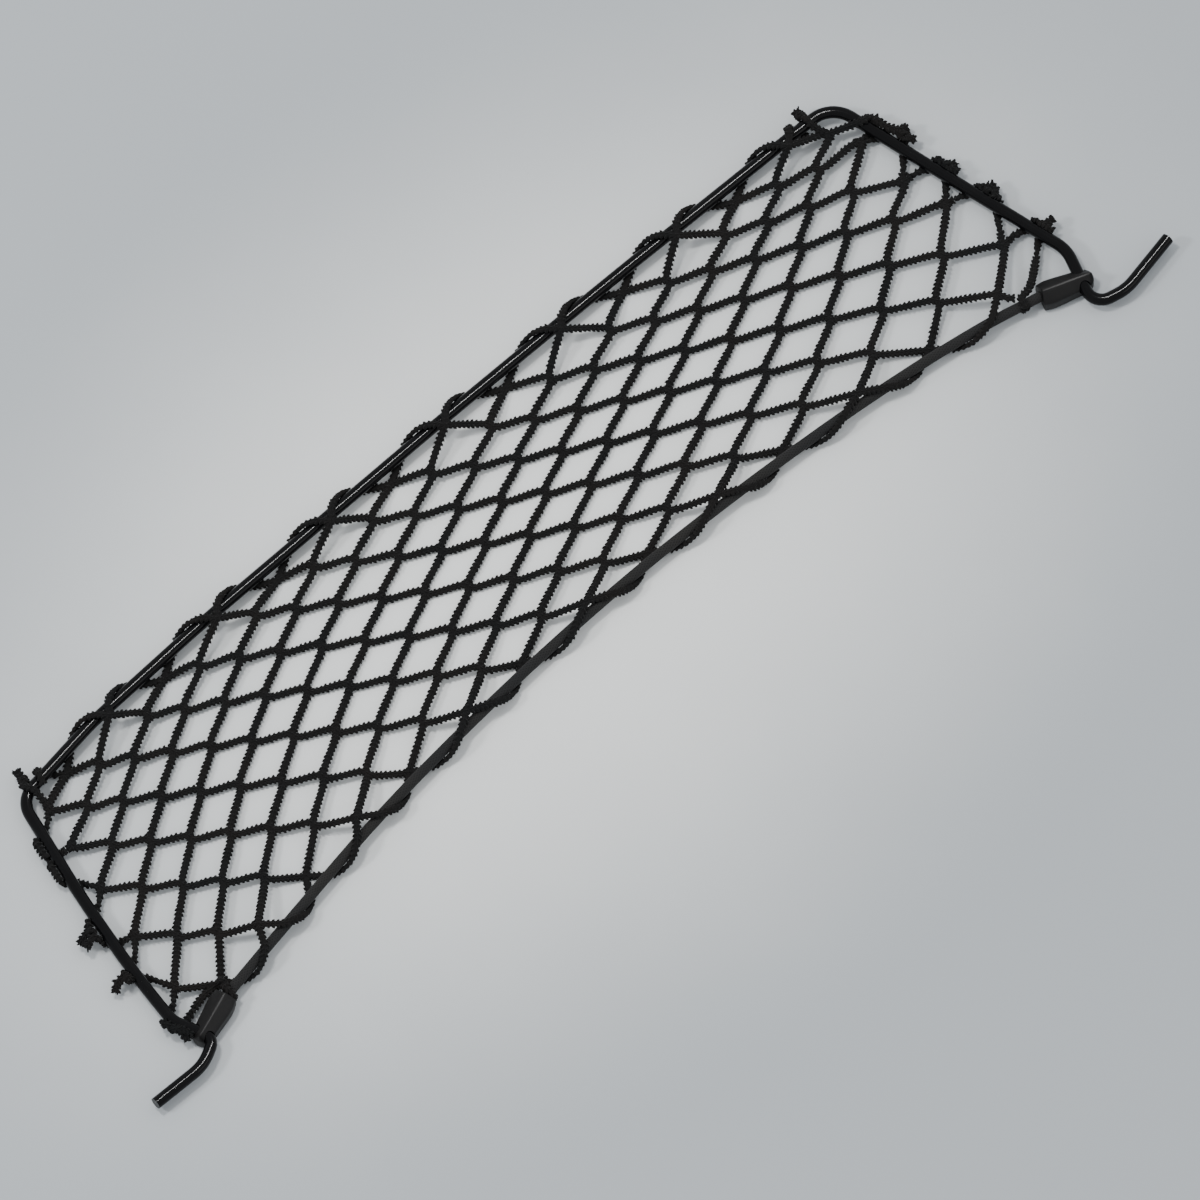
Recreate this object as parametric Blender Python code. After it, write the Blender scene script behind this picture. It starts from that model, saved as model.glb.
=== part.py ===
"""Cargo net on a bent rod frame.

A knitted diamond net is laced round a bent steel rod on three sides and round an elastic cord on
the fourth. Two moulded clips hold the ends of the elastic on the rod, just above the rod's hooks.
Lengths below are in millimetres. The plan origin is the middle of the rod's long side, +X runs
along that side, +Y away from the elastic and +Z up from the surface the net lies on.
"""

import math
from collections import namedtuple

import bmesh
import bpy
import numpy as np
from mathutils import Matrix, Vector

MM = 0.001
PART_NAME = "cargo_net"
BOX_CENTRE = Vector((2.249, -75.4768))  # plan centre of the finished part, moved to the world origin

# Rod, elastic and net cord
ROD_RADIUS = 3.0
ELASTIC_RADIUS = 2.6
CORD_WIDTH = 4.1
CORD_THICK = 3.0
CLEARANCE = 0.35

# The cord bends round the rod and the elastic in steps of 45 degrees, clear of them by CLEARANCE
STEP_HALF = math.cos(math.radians(22.5))

# Levels: the cord passes under the rod and the elastic and lies on the floor there
ROD_LEVEL = CORD_THICK + (ROD_RADIUS + CLEARANCE) / STEP_HALF
ELASTIC_LEVEL = CORD_THICK + (ELASTIC_RADIUS + CLEARANCE) / STEP_HALF
NET_LEVEL = 6.2
NET_SAG = 4.4  # the middle of the net lies on the floor
LEG_SAG = 1.6
SAG_SLIP = (0.338, 0.352)  # how far the plan shifts for each millimetre of sag
MIDDLE_COLUMN, COLUMN_REACH = 5, 14
UNDER_KNOT_LEVEL = 0.5 * CORD_THICK
OVER_KNOT_LEVEL = {"rod": 11.4, "elastic": 10.7}

# Clips
CLIP_HEIGHT = 12.4
CLIP_SLOPE = 0.05  # its top falls towards the eye
CLIP_MOUTH_HALF = 5.7
CLIP_SHOULDER_HALF = 6.5
CLIP_NECK_HALF = 5.6
CLIP_EYE_RADIUS = 5.2
# A roof-shaped section: at each height, the share of the outline's width and how far each end is pulled in
Layer = namedtuple("Layer", "height share pull")
CLIP_LAYERS = (
    Layer(0.0, 0.80, 1.1),
    Layer(1.1, 0.97, 0.2),
    Layer(4.0, 1.0, 0.0),
    Layer(7.6, 0.99, 0.0),
    Layer(8.4, 0.93, 0.1),
    Layer(11.9, 0.22, 0.8),
    Layer(12.4, 0.08, 1.5),
)
ELASTIC_SEAT = 9.5

Bend = namedtuple("Bend", "x y radius")
ROD_BENDS = (
    Bend(-332.9, -157.2, 0),  # left hook's cut end
    Bend(-302.5, -158.4, 25),
    Bend(-288.6, -151.5, 6),  # at the left clip
    Bend(-296.9, -131.2, 14),
    Bend(-292.6, -100.0, 300),
    Bend(-283.3, -54.5, 300),
    Bend(-268.3, 4.0, 13),  # left corner
    Bend(-215.0, 10.3, 120),
    Bend(-140.0, 12.1, 500),
    Bend(20.0, 10.7, 1500),
    Bend(130.0, 8.2, 1500),
    Bend(270.1, 2.9, 15),  # right corner
    Bend(283.4, -63.5, 600),
    Bend(297.6, -131.7, 18),
    Bend(286.0, -162.7, 8),
    Bend(303.8, -167.1, 25),
    Bend(337.0, -161.3, 0),  # right hook's cut end
)
LEFT_CORNER = Vector((-268.3, 0.0))
RIGHT_CORNER = Vector((268.3, 0.0))

ElasticStation = namedtuple("ElasticStation", "x y")
ELASTIC_STATIONS = (
    ElasticStation(271.0, -141.0),
    ElasticStation(240.0, -133.6),
    ElasticStation(200.0, -126.8),
    ElasticStation(150.0, -120.6),
    ElasticStation(90.0, -115.6),
    ElasticStation(30.0, -112.9),
    ElasticStation(-30.0, -113.2),
    ElasticStation(-90.0, -116.0),
    ElasticStation(-150.0, -121.2),
    ElasticStation(-210.0, -129.8),
    ElasticStation(-269.4, -139.2),
)
LEFT_EYE = Vector((-290.6, -146.0))
RIGHT_EYE = Vector((292.2, -148.9))

# The net's knots stand in rows from the rod to the elastic and in columns along it. A knot sits
# where row + column is odd. Each station below gives a column's two ends and how its rows fan.
FIRST_ROW, LAST_ROW = -7, 3
Column = namedtuple("Column", "column rod_x elastic_x rod_y elastic_y fan")
COLUMNS = (
    Column(-9, -258.7, -285.9, 0.9, -136.6, -47),
    Column(-8, -241.6, -269.1, 0.0, -132.6, -42),
    Column(-6, -208.1, -233.3, 4.9, -123.7, -24),
    Column(-4, -173.1, -196.3, 6.9, -117.9, -21),
    Column(-2, -135.0, -160.1, 8.1, -115.3, -19),
    Column(0, -97.0, -122.6, 8.9, -112.9, -15),
    Column(4, -22.2, -42.9, 5.8, -109.5, -5),
    Column(8, 52.8, 41.0, 2.0, -109.5, -7),
    Column(12, 129.4, 126.2, 0.0, -114.3, -12),
    Column(14, 165.8, 170.5, -1.7, -119.5, -25),
    Column(16, 201.9, 214.2, -3.2, -123.6, -41),
    Column(18, 238.0, 256.1, -2.0, -127.2, -60),
    Column(19, 255.2, 279.2, 0.4, -126.6, -56),
)
FIRST_COLUMN, LAST_COLUMN = -9, 19
Pull = namedtuple("Pull", "row column dx dy")
PULLED_KNOTS = (
    Pull(-4, 19, 3.0, 4.5),
    Pull(-2, 19, -1.6, -2.0),
    Pull(0, 19, 0.0, 3.0),
    Pull(3, -8, 4.4, 1.6),
)
# The least distance of an edge knot in from the centre line of what it is laced round
EDGE_INSET = {"over": 4.6, "under": 6.6}

# Round the rod and the elastic, a clock angle of 90 is the top, 0 the outer side, -90 the underside
Turn = namedtuple("Turn", "clock along")
ROD_LACING = (Turn(90, 0.11), Turn(45, 0.24), Turn(0, 0.38), Turn(-45, 0.53), Turn(-90, 0.67))
ELASTIC_LACING = (Turn(90, 0.22), Turn(45, 0.36), Turn(0, 0.5), Turn(-45, 0.64), Turn(-90, 0.78))

# Loops round the legs: crossings are distances along the leg from its corner. Both cords pass under
# the rod, except where the first knot is in LEG_OVER. A loop with a tail is tied outside the leg: its
# first strand swells at the tie and runs on to the tail's places, and its second strand ends there.
LegLoop = namedtuple("LegLoop", "leg first_knot first_at second_knot second_at tie_at tail")
LEG_LOOPS = (
    LegLoop("left", (-6, -9), 18, (-4, -9), 29, None, ()),
    LegLoop("left", (-4, -9), 39.7, (-2, -9), 47, None, ()),
    LegLoop("left", (-2, -9), 67, (0, -9), 82, 74, ((-300.2, -75.4), (-301.2, -68.8))),
    LegLoop("left", (0, -9), 97, (2, -9), 111, 103, ((-303.4, -98.6), (-307.6, -100.6))),
    LegLoop("left", (2, -9), 128, (3, -8), 136.5, 133, ((-301.4, -139.0), (-300.0, -145.0))),
    LegLoop("right", (-6, 19), 10.5, (-4, 19), 13, 12.5, ((281.0, -16.4), (284.0, -21.0))),
    LegLoop("right", (-4, 19), 24, (-2, 19), 41, None, ()),
    LegLoop("right", (-2, 19), 55, (0, 19), 65, 58.5, ((292.4, -63.4),)),
    LegLoop("right", (0, 19), 79, (2, 19), 97, None, ()),
)
LEG_OVER = {(-6, -9), (-4, -9), (2, -9), (-6, 19), (-4, 19), (0, 19)}
TIE_OUT, TIE_LEVEL, TIE_SIZE = 5.6, 0.4, 1.35

Finish = namedtuple("Finish", "colour roughness metallic")
FINISHES = {
    "rod_frame": Finish((0.012, 0.012, 0.013), 0.25, 0.0),
    "elastic_cord": Finish((0.020, 0.020, 0.022), 0.75, 0.0),
    "clip": Finish((0.022, 0.022, 0.023), 0.55, 0.0),
    "net": Finish((0.014, 0.015, 0.016), 0.9, 0.0),
}


# ---------------------------------------------------------------- paths


def rounded_path(bends, arc_step=math.radians(13)):
    """The plan points of a wire that runs from bend to bend, each turned at its own radius."""
    points = [Vector((bends[0].x, bends[0].y))]
    for before, bend, after in zip(bends, bends[1:], bends[2:]):
        corner = Vector((bend.x, bend.y))
        back = (Vector((before.x, before.y)) - corner).normalized()
        ahead = (Vector((after.x, after.y)) - corner).normalized()
        turn = math.pi - back.angle(ahead)
        tangent = bend.radius * math.tan(turn / 2)
        centre = corner + (back + ahead).normalized() * math.hypot(tangent, bend.radius)
        start = corner + back * tangent - centre
        side = 1 if ahead.cross(back) > 0 else -1
        steps = max(1, math.ceil(turn / arc_step))
        for step in range(steps + 1):
            points.append(centre + turned(start, side * turn * step / steps))
    points.append(Vector((bends[-1].x, bends[-1].y)))
    return points


def smooth_path(stations, steps):
    """Plan points on a smooth curve through the stations."""
    ends = [2 * stations[0] - stations[1], *stations, 2 * stations[-1] - stations[-2]]
    points = []
    for a, b, c, d in zip(ends, ends[1:], ends[2:], ends[3:]):
        for step in range(steps):
            t = step / steps
            points.append(
                0.5 * (2 * b + (c - a) * t + (2 * a - 5 * b + 4 * c - d) * t**2 + (3 * b - a - 3 * c + d) * t**3)
            )
    return points + [stations[-1]]


def turned(vector, angle):
    return Vector(
        (
            vector.x * math.cos(angle) - vector.y * math.sin(angle),
            vector.x * math.sin(angle) + vector.y * math.cos(angle),
        )
    )


class Rail:
    """What the net is laced round: a plan path with the net on its right, a level and a radius."""

    def __init__(self, path, level, radius):
        self.path = path
        self.level = level
        self.radius = radius
        self.lengths = [0.0]
        for a, b in zip(path, path[1:]):
            self.lengths.append(self.lengths[-1] + (b - a).length)

    def at(self, along):
        """The plan point at a distance along the path, and the outward direction there."""
        index = int(np.searchsorted(self.lengths, along)) - 1
        index = min(max(index, 0), len(self.path) - 2)
        step = self.path[index + 1] - self.path[index]
        point = self.path[index] + step.normalized() * (along - self.lengths[index])
        return point, turned(step.normalized(), math.pi / 2)

    def near(self, place):
        """The distance along the path of the point nearest a place."""
        best = None
        for index, (a, b) in enumerate(zip(self.path, self.path[1:])):
            step = b - a
            part = min(max((place - a).dot(step) / step.length_squared, 0), 1)
            off = (a + step * part - place).length
            if best is None or off < best[0]:
                best = (off, self.lengths[index] + part * step.length)
        return best[1]

    def round(self, along, clock, lift=0.0):
        """A section of cord that hugs the rail: its centre, and the way its outer face looks."""
        point, outward = self.at(along)
        angle = math.radians(clock)
        radial = Vector((*(outward * math.cos(angle)), math.sin(angle)))
        reach = (self.radius + CLEARANCE) / STEP_HALF + CORD_THICK / 2 + lift
        return Section(Vector((*point, self.level)) + radial * reach, radial, turned(outward, math.pi / 2))


Section = namedtuple("Section", "centre up axis size", defaults=(None, 1.0))

ROD = Rail(rounded_path(ROD_BENDS), ROD_LEVEL, ROD_RADIUS)
ELASTIC = Rail(smooth_path([Vector(s) for s in ELASTIC_STATIONS], 5), ELASTIC_LEVEL, ELASTIC_RADIUS)


# ---------------------------------------------------------------- where the knots are


def knot_place(row, column):
    """A knot's centre, from the columns' table and from whether the cord goes over or under."""
    station = [np.interp(column, [c.column for c in COLUMNS], [c[i] for c in COLUMNS]) for i in range(1, 6)]
    rod_x, elastic_x, rod_y, elastic_y, fan = station
    part = (row - FIRST_ROW) / (LAST_ROW - FIRST_ROW)
    place = Vector(
        (
            (1 - part) * rod_x + part * elastic_x,
            (1 - part) * rod_y + part * elastic_y + fan * part * (part - 1),
        )
    )
    for pull in PULLED_KNOTS:
        if (pull.row, pull.column) == (row, column):
            place += Vector((pull.dx, pull.dy))
    slack = 1 - ((column - MIDDLE_COLUMN) / COLUMN_REACH) ** 4
    sag = LEG_SAG + (NET_SAG - LEG_SAG) * slack
    level = NET_LEVEL - 4 * sag * part * (1 - part)
    place += Vector(SAG_SLIP) * (4 * sag * part * (1 - part))
    over = (column - 2) % 4 == 0
    if row in (FIRST_ROW, LAST_ROW):
        kind, rail = ("rod", ROD) if row == FIRST_ROW else ("elastic", ELASTIC)
        point, outward = rail.at(rail.near(place))
        inset = EDGE_INSET["over" if over else "under"]
        if row == LAST_ROW:
            inset = max(inset - 0.7, outward.dot(point - place))
        place = point - outward * inset
        level = OVER_KNOT_LEVEL[kind] if over else UNDER_KNOT_LEVEL
    elif row in (FIRST_ROW + 2, LAST_ROW - 2) and column % 2 == 0:
        level += 0.6 if over else -0.6
    return Vector((*place, level))


def lattice():
    """Every knot of the net, by row and column."""
    knots = {}
    for row in range(FIRST_ROW, LAST_ROW + 1):
        for column in range(FIRST_COLUMN, LAST_COLUMN + 1):
            if (row + column) % 2:
                knots[row, column] = knot_place(row, column)
    return knots


# ---------------------------------------------------------------- the net's mesh


class CordMesh:
    """One closed mesh of cord: flat-sided strands between knots."""

    def __init__(self):
        self.mesh = bmesh.new()

    def point(self, place):
        return self.mesh.verts.new(place * MM)

    def knot(self, centre, directions, width=CORD_WIDTH, thick=CORD_THICK):
        """A knot with a port for each direction. Returns the ports' rings in the order given."""
        bearings = [math.atan2(d.y, d.x) for d in directions]
        order = sorted(range(len(directions)), key=lambda i: bearings[i])
        reach = [width * 0.5] * len(directions)
        for i, j in zip(order, order[1:] + order[:1]):
            opening = (bearings[j] - bearings[i]) % math.tau
            if opening < math.pi:
                needed = min(0.5 * width / math.tan(opening / 2), 1.35 * width)
                reach[i] = max(reach[i], needed)
                reach[j] = max(reach[j], needed)
        right, left = {}, {}
        for i in order:
            flat = Vector((directions[i].x, directions[i].y, 0)).normalized()
            out = directions[i].normalized()
            middle = centre + out * (reach[i] / max(0.5, out.to_2d().length))
            across = Vector((-flat.y, flat.x, 0)) * (width / 2)
            left[i], right[i] = middle + across, middle - across
        corners, at_left, at_right = [], {}, {}
        for i, j in zip(order, order[1:] + order[:1]):
            if (left[i].to_2d() - right[j].to_2d()).length < 0.45 * width:
                corners.append((left[i] + right[j]) / 2)
                at_left[i] = at_right[j] = len(corners) - 1
            else:
                corners += [left[i], right[j]]
                at_left[i], at_right[j] = len(corners) - 2, len(corners) - 1
        half = Vector((0, 0, thick / 2))
        low = [self.point(c - half) for c in corners]
        high = [self.point(c + half) for c in corners]
        self.mesh.faces.new(high)
        self.mesh.faces.new(low[::-1])
        for i, j in zip(order, order[1:] + order[:1]):
            a, b = at_left[i], at_right[j]
            if a != b:
                self.mesh.faces.new((low[a], low[b], high[b], high[a]))
        return [
            (low[at_right[i]], low[at_left[i]], high[at_left[i]], high[at_right[i]])
            for i in range(len(directions))
        ]

    def ring(self, section, travel):
        """A ring square to the travel or, round a rail, in a plane through the rail's axis."""
        across = section.up.cross(travel).normalized() * (CORD_WIDTH / 2 * section.size)
        rise = travel.cross(across).normalized() * (CORD_THICK / 2 * section.size)
        if section.axis:
            axis = Vector((*section.axis, 0))
            share = across.normalized().dot(axis)
            across = axis * (across.length / math.copysign(max(abs(share), 0.45), share))
            rise = section.up * (CORD_THICK / 2 * section.size)
        return [
            self.point(section.centre + side * across + height * rise)
            for side, height in ((-1, -1), (1, -1), (1, 1), (-1, 1))
        ]

    def bridge(self, first, second):
        """Four sides between two rings, turned so that the nearest corners meet."""
        shift = min(
            range(4),
            key=lambda k: sum((first[i].co - second[(i + k) % 4].co).length_squared for i in range(4)),
        )
        second = [second[(i + shift) % 4] for i in range(4)]
        for i in range(4):
            j = (i + 1) % 4
            self.mesh.faces.new((first[i], first[j], second[j], second[i]))

    def strand(self, start, sections, end):
        """A strand from one port through its sections to another port, or to a cut end if None."""
        centres = [ring_centre(start)] + [s.centre for s in sections]
        if end:
            centres.append(ring_centre(end))
        rings = [start]
        for index, section in enumerate(sections, 1):
            after = centres[min(index + 1, len(centres) - 1)]
            rings.append(self.ring(section, after - centres[index - 1]))
        if end:
            rings.append((end[1], end[0], end[3], end[2]))
        for first, second in zip(rings, rings[1:]):
            self.bridge(first, second)
        if not end:
            self.mesh.faces.new(rings[-1])

    def finish(self, name):
        bmesh.ops.recalc_face_normals(self.mesh, faces=self.mesh.faces)
        data = bpy.data.meshes.new(name)
        self.mesh.to_mesh(data)
        self.mesh.free()
        return data


def ring_centre(ring):
    return sum((v.co for v in ring), Vector()) / (4 * MM)


UP = Vector((0, 0, 1))


def lacing(rail, over, under, turns):
    """Sections of the cord from an edge knot above the rail, round its outer side, to one below."""
    start, end = rail.near(over.to_2d()), rail.near(under.to_2d())
    return [rail.round(start + (end - start) * turn.along, turn.clock) for turn in turns]


def leg_position(leg, distance):
    corner = LEFT_CORNER if leg == "left" else RIGHT_CORNER
    return ROD.near(corner) + (-distance if leg == "left" else distance)


class Net:
    """The net's knots, and the strands that leave each of them."""

    def __init__(self):
        self.knots = lattice()
        self.strands = []  # (start knot, sections, end knot or None)
        self.sizes = {}

    def join(self, start, sections, end=None):
        self.strands.append((start, sections, end))

    def add_knot(self, name, place, width=CORD_WIDTH, thick=CORD_THICK):
        self.knots[name] = place
        self.sizes[name] = (width, thick)

    def build(self, name):
        cord = CordMesh()
        leaving = {key: [] for key in self.knots}
        for number, (start, sections, end) in enumerate(self.strands):
            stops = [self.knots[start]] + [s.centre for s in sections]
            if end:
                stops.append(self.knots[end])
                leaving[end].append((number, 1, stops[-2] - stops[-1]))
            leaving[start].append((number, 0, stops[1] - stops[0]))
        ports = {}
        for key, place in self.knots.items():
            width, thick = self.sizes.get(key, (CORD_WIDTH, CORD_THICK))
            rings = cord.knot(place, [way for _, _, way in leaving[key]], width, thick)
            for (number, which, _), ring in zip(leaving[key], rings):
                ports[number, which] = ring
        for number, (_, sections, end) in enumerate(self.strands):
            cord.strand(ports[number, 0], sections, ports[number, 1] if end else None)
        return cord.finish(name)


def mesh_strands(net):
    """The diamond mesh itself: two strands down from each knot, bowed a little."""
    for (row, column), place in list(net.knots.items()):
        for side in (-1, 1):
            below = (row + 1, column + side)
            if below in net.knots:
                middle = (place + net.knots[below]) / 2
                net.join((row, column), [Section(middle, UP)], below)


def edge_lacing(net):
    """The loops round the rod's long side and round the elastic."""
    for row, rail, turns in ((FIRST_ROW, ROD, ROD_LACING), (LAST_ROW, ELASTIC, ELASTIC_LACING)):
        columns = sorted(c for r, c in net.knots if r == row)
        for a, b in zip(columns, columns[1:]):
            over, under = ((row, a), (row, b)) if (a - 2) % 4 == 0 else ((row, b), (row, a))
            net.join(over, lacing(rail, net.knots[over], net.knots[under], turns), under)


def leg_loops(net):
    """Loops round the two legs, some of them cut and tied outside the leg."""
    for loop in LEG_LOOPS:
        first, second = (leg_position(loop.leg, d) for d in (loop.first_at, loop.second_at))
        side = 1 if loop.first_knot in LEG_OVER else -1
        begin = approach(net.knots[loop.first_knot], first, side)
        back = approach(net.knots[loop.second_knot], second, -1)
        if loop.second_knot in DETOURS:
            back.insert(0, Section(Vector(DETOURS[loop.second_knot]), UP))
        if loop.tail:
            tie = leg_position(loop.leg, loop.tie_at)
            net.join(loop.first_knot, begin + tied_end(first, tie, loop.tail, side))
            net.join(loop.second_knot, back + [ROD.round(second + 0.25 * (tie - second), -45)])
        else:
            across = [ROD.round(first + (second - first) * part, clock) for clock, part in LEG_TURNS]
            net.join(loop.first_knot, begin + across + back[::-1], loop.second_knot)


LEG_TURNS = ((45, 0.25), (0, 0.5), (-45, 0.75))
DETOURS = {(3, -8): (-276.0, -130.6, 3.2)}  # past the left clip


def approach(knot, along, side):
    """The cord's way from a knot inside the leg to the top (side 1) or the underside (side -1)."""
    lead = min(max(ROD.near(knot.to_2d()) - along, -3.5), 3.5)
    return [ROD.round(along + 0.7 * lead, 135 * side), ROD.round(along, 90 * side)]


def tied_end(crossing, tie, tail, side=1):
    """From the rod's top (side 1) or underside (side -1) to the tie's swelling beside it, and on through the cut end."""
    point, outward = ROD.at(tie)
    lean = Vector((*(outward * 0.3), 0.95))
    centre = Vector((*(point + outward * TIE_OUT), ROD_LEVEL + TIE_LEVEL))
    swelling = Section(centre, lean.normalized(), turned(outward, math.pi / 2), TIE_SIZE)
    sections = [ROD.round(0.5 * (crossing + tie), 45 * side), swelling]
    for number, place in enumerate(tail, 1):
        sections.append(Section(Vector((*place, ROD_LEVEL - 1.2 * number)), UP, None, 0.95))
    return sections


def corner_ties(net):
    """The cut ends at the two corners and at the elastic's right end."""
    left, right = ROD.near(LEFT_CORNER), ROD.near(RIGHT_CORNER)
    net.join((FIRST_ROW, -8), [ROD.round(left + at, clock) for at, clock in LEFT_WRAP])
    net.join((FIRST_ROW, 18), [ROD.round(right - at, clock) for at, clock in RIGHT_WRAP])
    for knot, crossing, tail in (((-6, -9), left + 8, LEFT_TAIL), ((-6, 19), right - 14, RIGHT_TAIL)):
        over = [ROD.round(crossing, 135), ROD.round(crossing, 90)]
        net.join(knot, over + tied_end(crossing, crossing + 0.5, tail))
    # the last strand beside the right clip: round the leg, then in over the elastic
    down = leg_position("right", 0)
    strand = [ROD.round(down + at, clock) for at, clock in LAST_TURNS]
    strand += [Section(Vector(place), UP) for place in LAST_SPAN]
    seat = ELASTIC.near(Vector(LAST_STUB[:2]))
    strand += [ELASTIC.round(seat, clock) for clock in (135, 90, 45)]
    net.join((2, 19), strand + [Section(Vector(LAST_STUB), UP)])
    net.join((LAST_ROW, 18), [Section(Vector(place), UP) for place in INNER_STUB])


# How far from the corner, and the clock angle, of each section of the cord that wraps there
LEFT_WRAP = ((22, -90), (20.2, -45), (18.2, 0), (17, 45), (15.9, 90), (14.3, 135))
RIGHT_WRAP = ((25.5, 90), (24, 45), (22.5, 0), (21, -45), (19.5, -90), (18.3, -135))
LEFT_TAIL = ((-259.6, 12.6), (-259.2, 17.2))
RIGHT_TAIL = ((252.4, 13.2),)
LAST_TURNS = ((113.5, 135), (115, 90), (116.7, 45), (118.4, 0), (120, -45), (121.6, -90), (123, -135))
LAST_SPAN = ((280.0, -127.6, 4.0), (270.5, -134.2, 7.6))
LAST_STUB = (260.6, -144.6, 6.4)
INNER_STUB = ((257.2, -131.4, 10.3), (259.8, -133.8, 9.6))


def build_net():
    net = Net()
    mesh_strands(net)
    edge_lacing(net)
    leg_loops(net)
    corner_ties(net)
    return net.build("net")


# ---------------------------------------------------------------- objects


def finish_material(name):
    finish = FINISHES[name]
    material = bpy.data.materials.get(name) or bpy.data.materials.new(name)
    material.use_nodes = True
    shader = material.node_tree.nodes["Principled BSDF"]
    shader.inputs["Base Color"].default_value = (*finish.colour, 1)
    shader.inputs["Roughness"].default_value = finish.roughness
    shader.inputs["Metallic"].default_value = finish.metallic
    return material


def place_object(name, data, finish, collection, parent):
    piece = bpy.data.objects.new(name, data)
    collection.objects.link(piece)
    piece.parent = parent
    data.materials.append(finish_material(finish))
    return piece


def tube(name, path, level, radius, sides_level):
    """A round tube along a plan path, as a curve with filled caps."""
    curve = bpy.data.curves.new(name, "CURVE")
    curve.dimensions = "3D"
    curve.bevel_depth = radius * MM
    curve.bevel_resolution = sides_level
    curve.use_fill_caps = True
    spline = curve.splines.new("POLY")
    spline.points.add(len(path) - 1)
    for point, place in zip(spline.points, path):
        point.co = (*(place * MM), level * MM, 1)
    return curve


def elastic_path(clips, seat=ELASTIC_SEAT):
    """The elastic's whole route, with its two ends seated in the clips."""
    ends = [mouth + (eye - mouth).normalized() * seat for mouth, eye in clips]
    return [ends[0], *ELASTIC.path, ends[1]]


def clip_mesh(name, mouth, eye):
    """A clip's body: its outline from the cord's mouth to the round eye, lofted up to its ridge."""
    length = (eye - mouth).length
    side = [(0, CLIP_MOUTH_HALF), (0.25 * length, CLIP_SHOULDER_HALF), (0.8 * length, CLIP_NECK_HALF)]
    eye_arc = [
        (length + CLIP_EYE_RADIUS * math.sin(a), CLIP_EYE_RADIUS * math.cos(a))
        for a in (math.radians(d) for d in range(0, 181, 20))
    ]
    outline = side + eye_arc + [(x, -y) for x, y in reversed(side)]
    middle = (length + CLIP_EYE_RADIUS) / 2
    bm = bmesh.new()
    rings = []
    for layer in CLIP_LAYERS:
        shrink = 1 - layer.pull / middle
        fall = CLIP_SLOPE * layer.height / CLIP_HEIGHT
        ring = []
        for x, y in outline:
            place = (middle + (x - middle) * shrink, y * layer.share, layer.height - fall * x)
            ring.append(bm.verts.new(tuple(v * MM for v in place)))
        rings.append(ring)
    for low, high in zip(rings, rings[1:]):
        for i in range(len(outline)):
            j = (i + 1) % len(outline)
            bm.faces.new((low[i], low[j], high[j], high[i]))
    bm.faces.new(rings[0])
    bm.faces.new(rings[-1])
    bearing = math.atan2(eye.y - mouth.y, eye.x - mouth.x)
    place = Matrix.Translation((mouth.x * MM, mouth.y * MM, 0))
    bm.transform(place @ Matrix.Rotation(bearing, 4, "Z"))
    bmesh.ops.recalc_face_normals(bm, faces=bm.faces)
    data = bpy.data.meshes.new(name)
    bm.to_mesh(data)
    bm.free()
    return data


def tube_mesh(curve):
    """A curve's tube as a closed mesh, for a cutter."""
    holder = bpy.data.objects.new(curve.name, curve)
    bpy.context.scene.collection.objects.link(holder)
    bpy.context.view_layer.update()
    data = bpy.data.meshes.new_from_object(holder.evaluated_get(bpy.context.evaluated_depsgraph_get()))
    bpy.data.objects.remove(holder)
    bm = bmesh.new()
    bm.from_mesh(data)
    bmesh.ops.remove_doubles(bm, verts=bm.verts, dist=1e-6)
    bmesh.ops.recalc_face_normals(bm, faces=bm.faces)
    bm.to_mesh(data)
    bm.free()
    return data


def build_clips(clips, parts, cutters, parent):
    bores = (
        tube("rod_bore", ROD.path, ROD_LEVEL, ROD_RADIUS + CLEARANCE, 4),
        tube("elastic_bore", elastic_path(clips, ELASTIC_SEAT + 0.4), ELASTIC_LEVEL, ELASTIC_RADIUS + CLEARANCE, 3),
    )
    tools = []
    for bore in bores:
        tool = bpy.data.objects.new(bore.name, tube_mesh(bore))
        cutters.objects.link(tool)
        tool.parent = parent
        tool.hide_render = True
        tool.display_type = "WIRE"
        tools.append(tool)
    for name, (mouth, eye) in zip(("clip_right", "clip_left"), clips):
        clip = place_object(name, clip_mesh(name, mouth, eye), "clip", parts, parent)
        for tool in tools:
            cut = clip.modifiers.new("cut " + tool.name, "BOOLEAN")
            cut.operation = "DIFFERENCE"
            cut.object = tool


def main():
    for item in list(bpy.data.objects):
        bpy.data.objects.remove(item)
    parts = bpy.data.collections.new(PART_NAME)
    cutters = bpy.data.collections.new("cutters")
    for collection in (parts, cutters):
        bpy.context.scene.collection.children.link(collection)
    base = bpy.data.objects.new("base", None)
    base.location = (-BOX_CENTRE.x * MM, -BOX_CENTRE.y * MM, 0)
    parts.objects.link(base)

    clips = ((ELASTIC.path[0], RIGHT_EYE), (ELASTIC.path[-1], LEFT_EYE))
    place_object("rod_frame", tube("rod_frame", ROD.path, ROD_LEVEL, ROD_RADIUS, 4), "rod_frame", parts, base)
    cord = tube("elastic_cord", elastic_path(clips), ELASTIC_LEVEL, ELASTIC_RADIUS, 2)
    place_object("elastic_cord", cord, "elastic_cord", parts, base)
    place_object("net", build_net(), "net", parts, base)
    build_clips(clips, parts, cutters, base)


main()
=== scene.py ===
# %% [markdown]
# # A knitted cargo net on a bent rod
#
# The object is a flat retaining net. A diamond mesh of knitted black cord is laced round a bent
# steel rod on three sides and round an elastic cord on the fourth, and two moulded clips hold the
# elastic's ends on the rod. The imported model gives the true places, so every dressed piece is
# built where its solid lies. The lesson goes from the frame outwards: view and light first, then
# rod, elastic and clips, and last the cord itself, which is most of what the eye sees.

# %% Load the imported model
import math
from collections import namedtuple

import bmesh
import bpy
import numpy as np
from mathutils import Matrix, Vector


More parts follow.
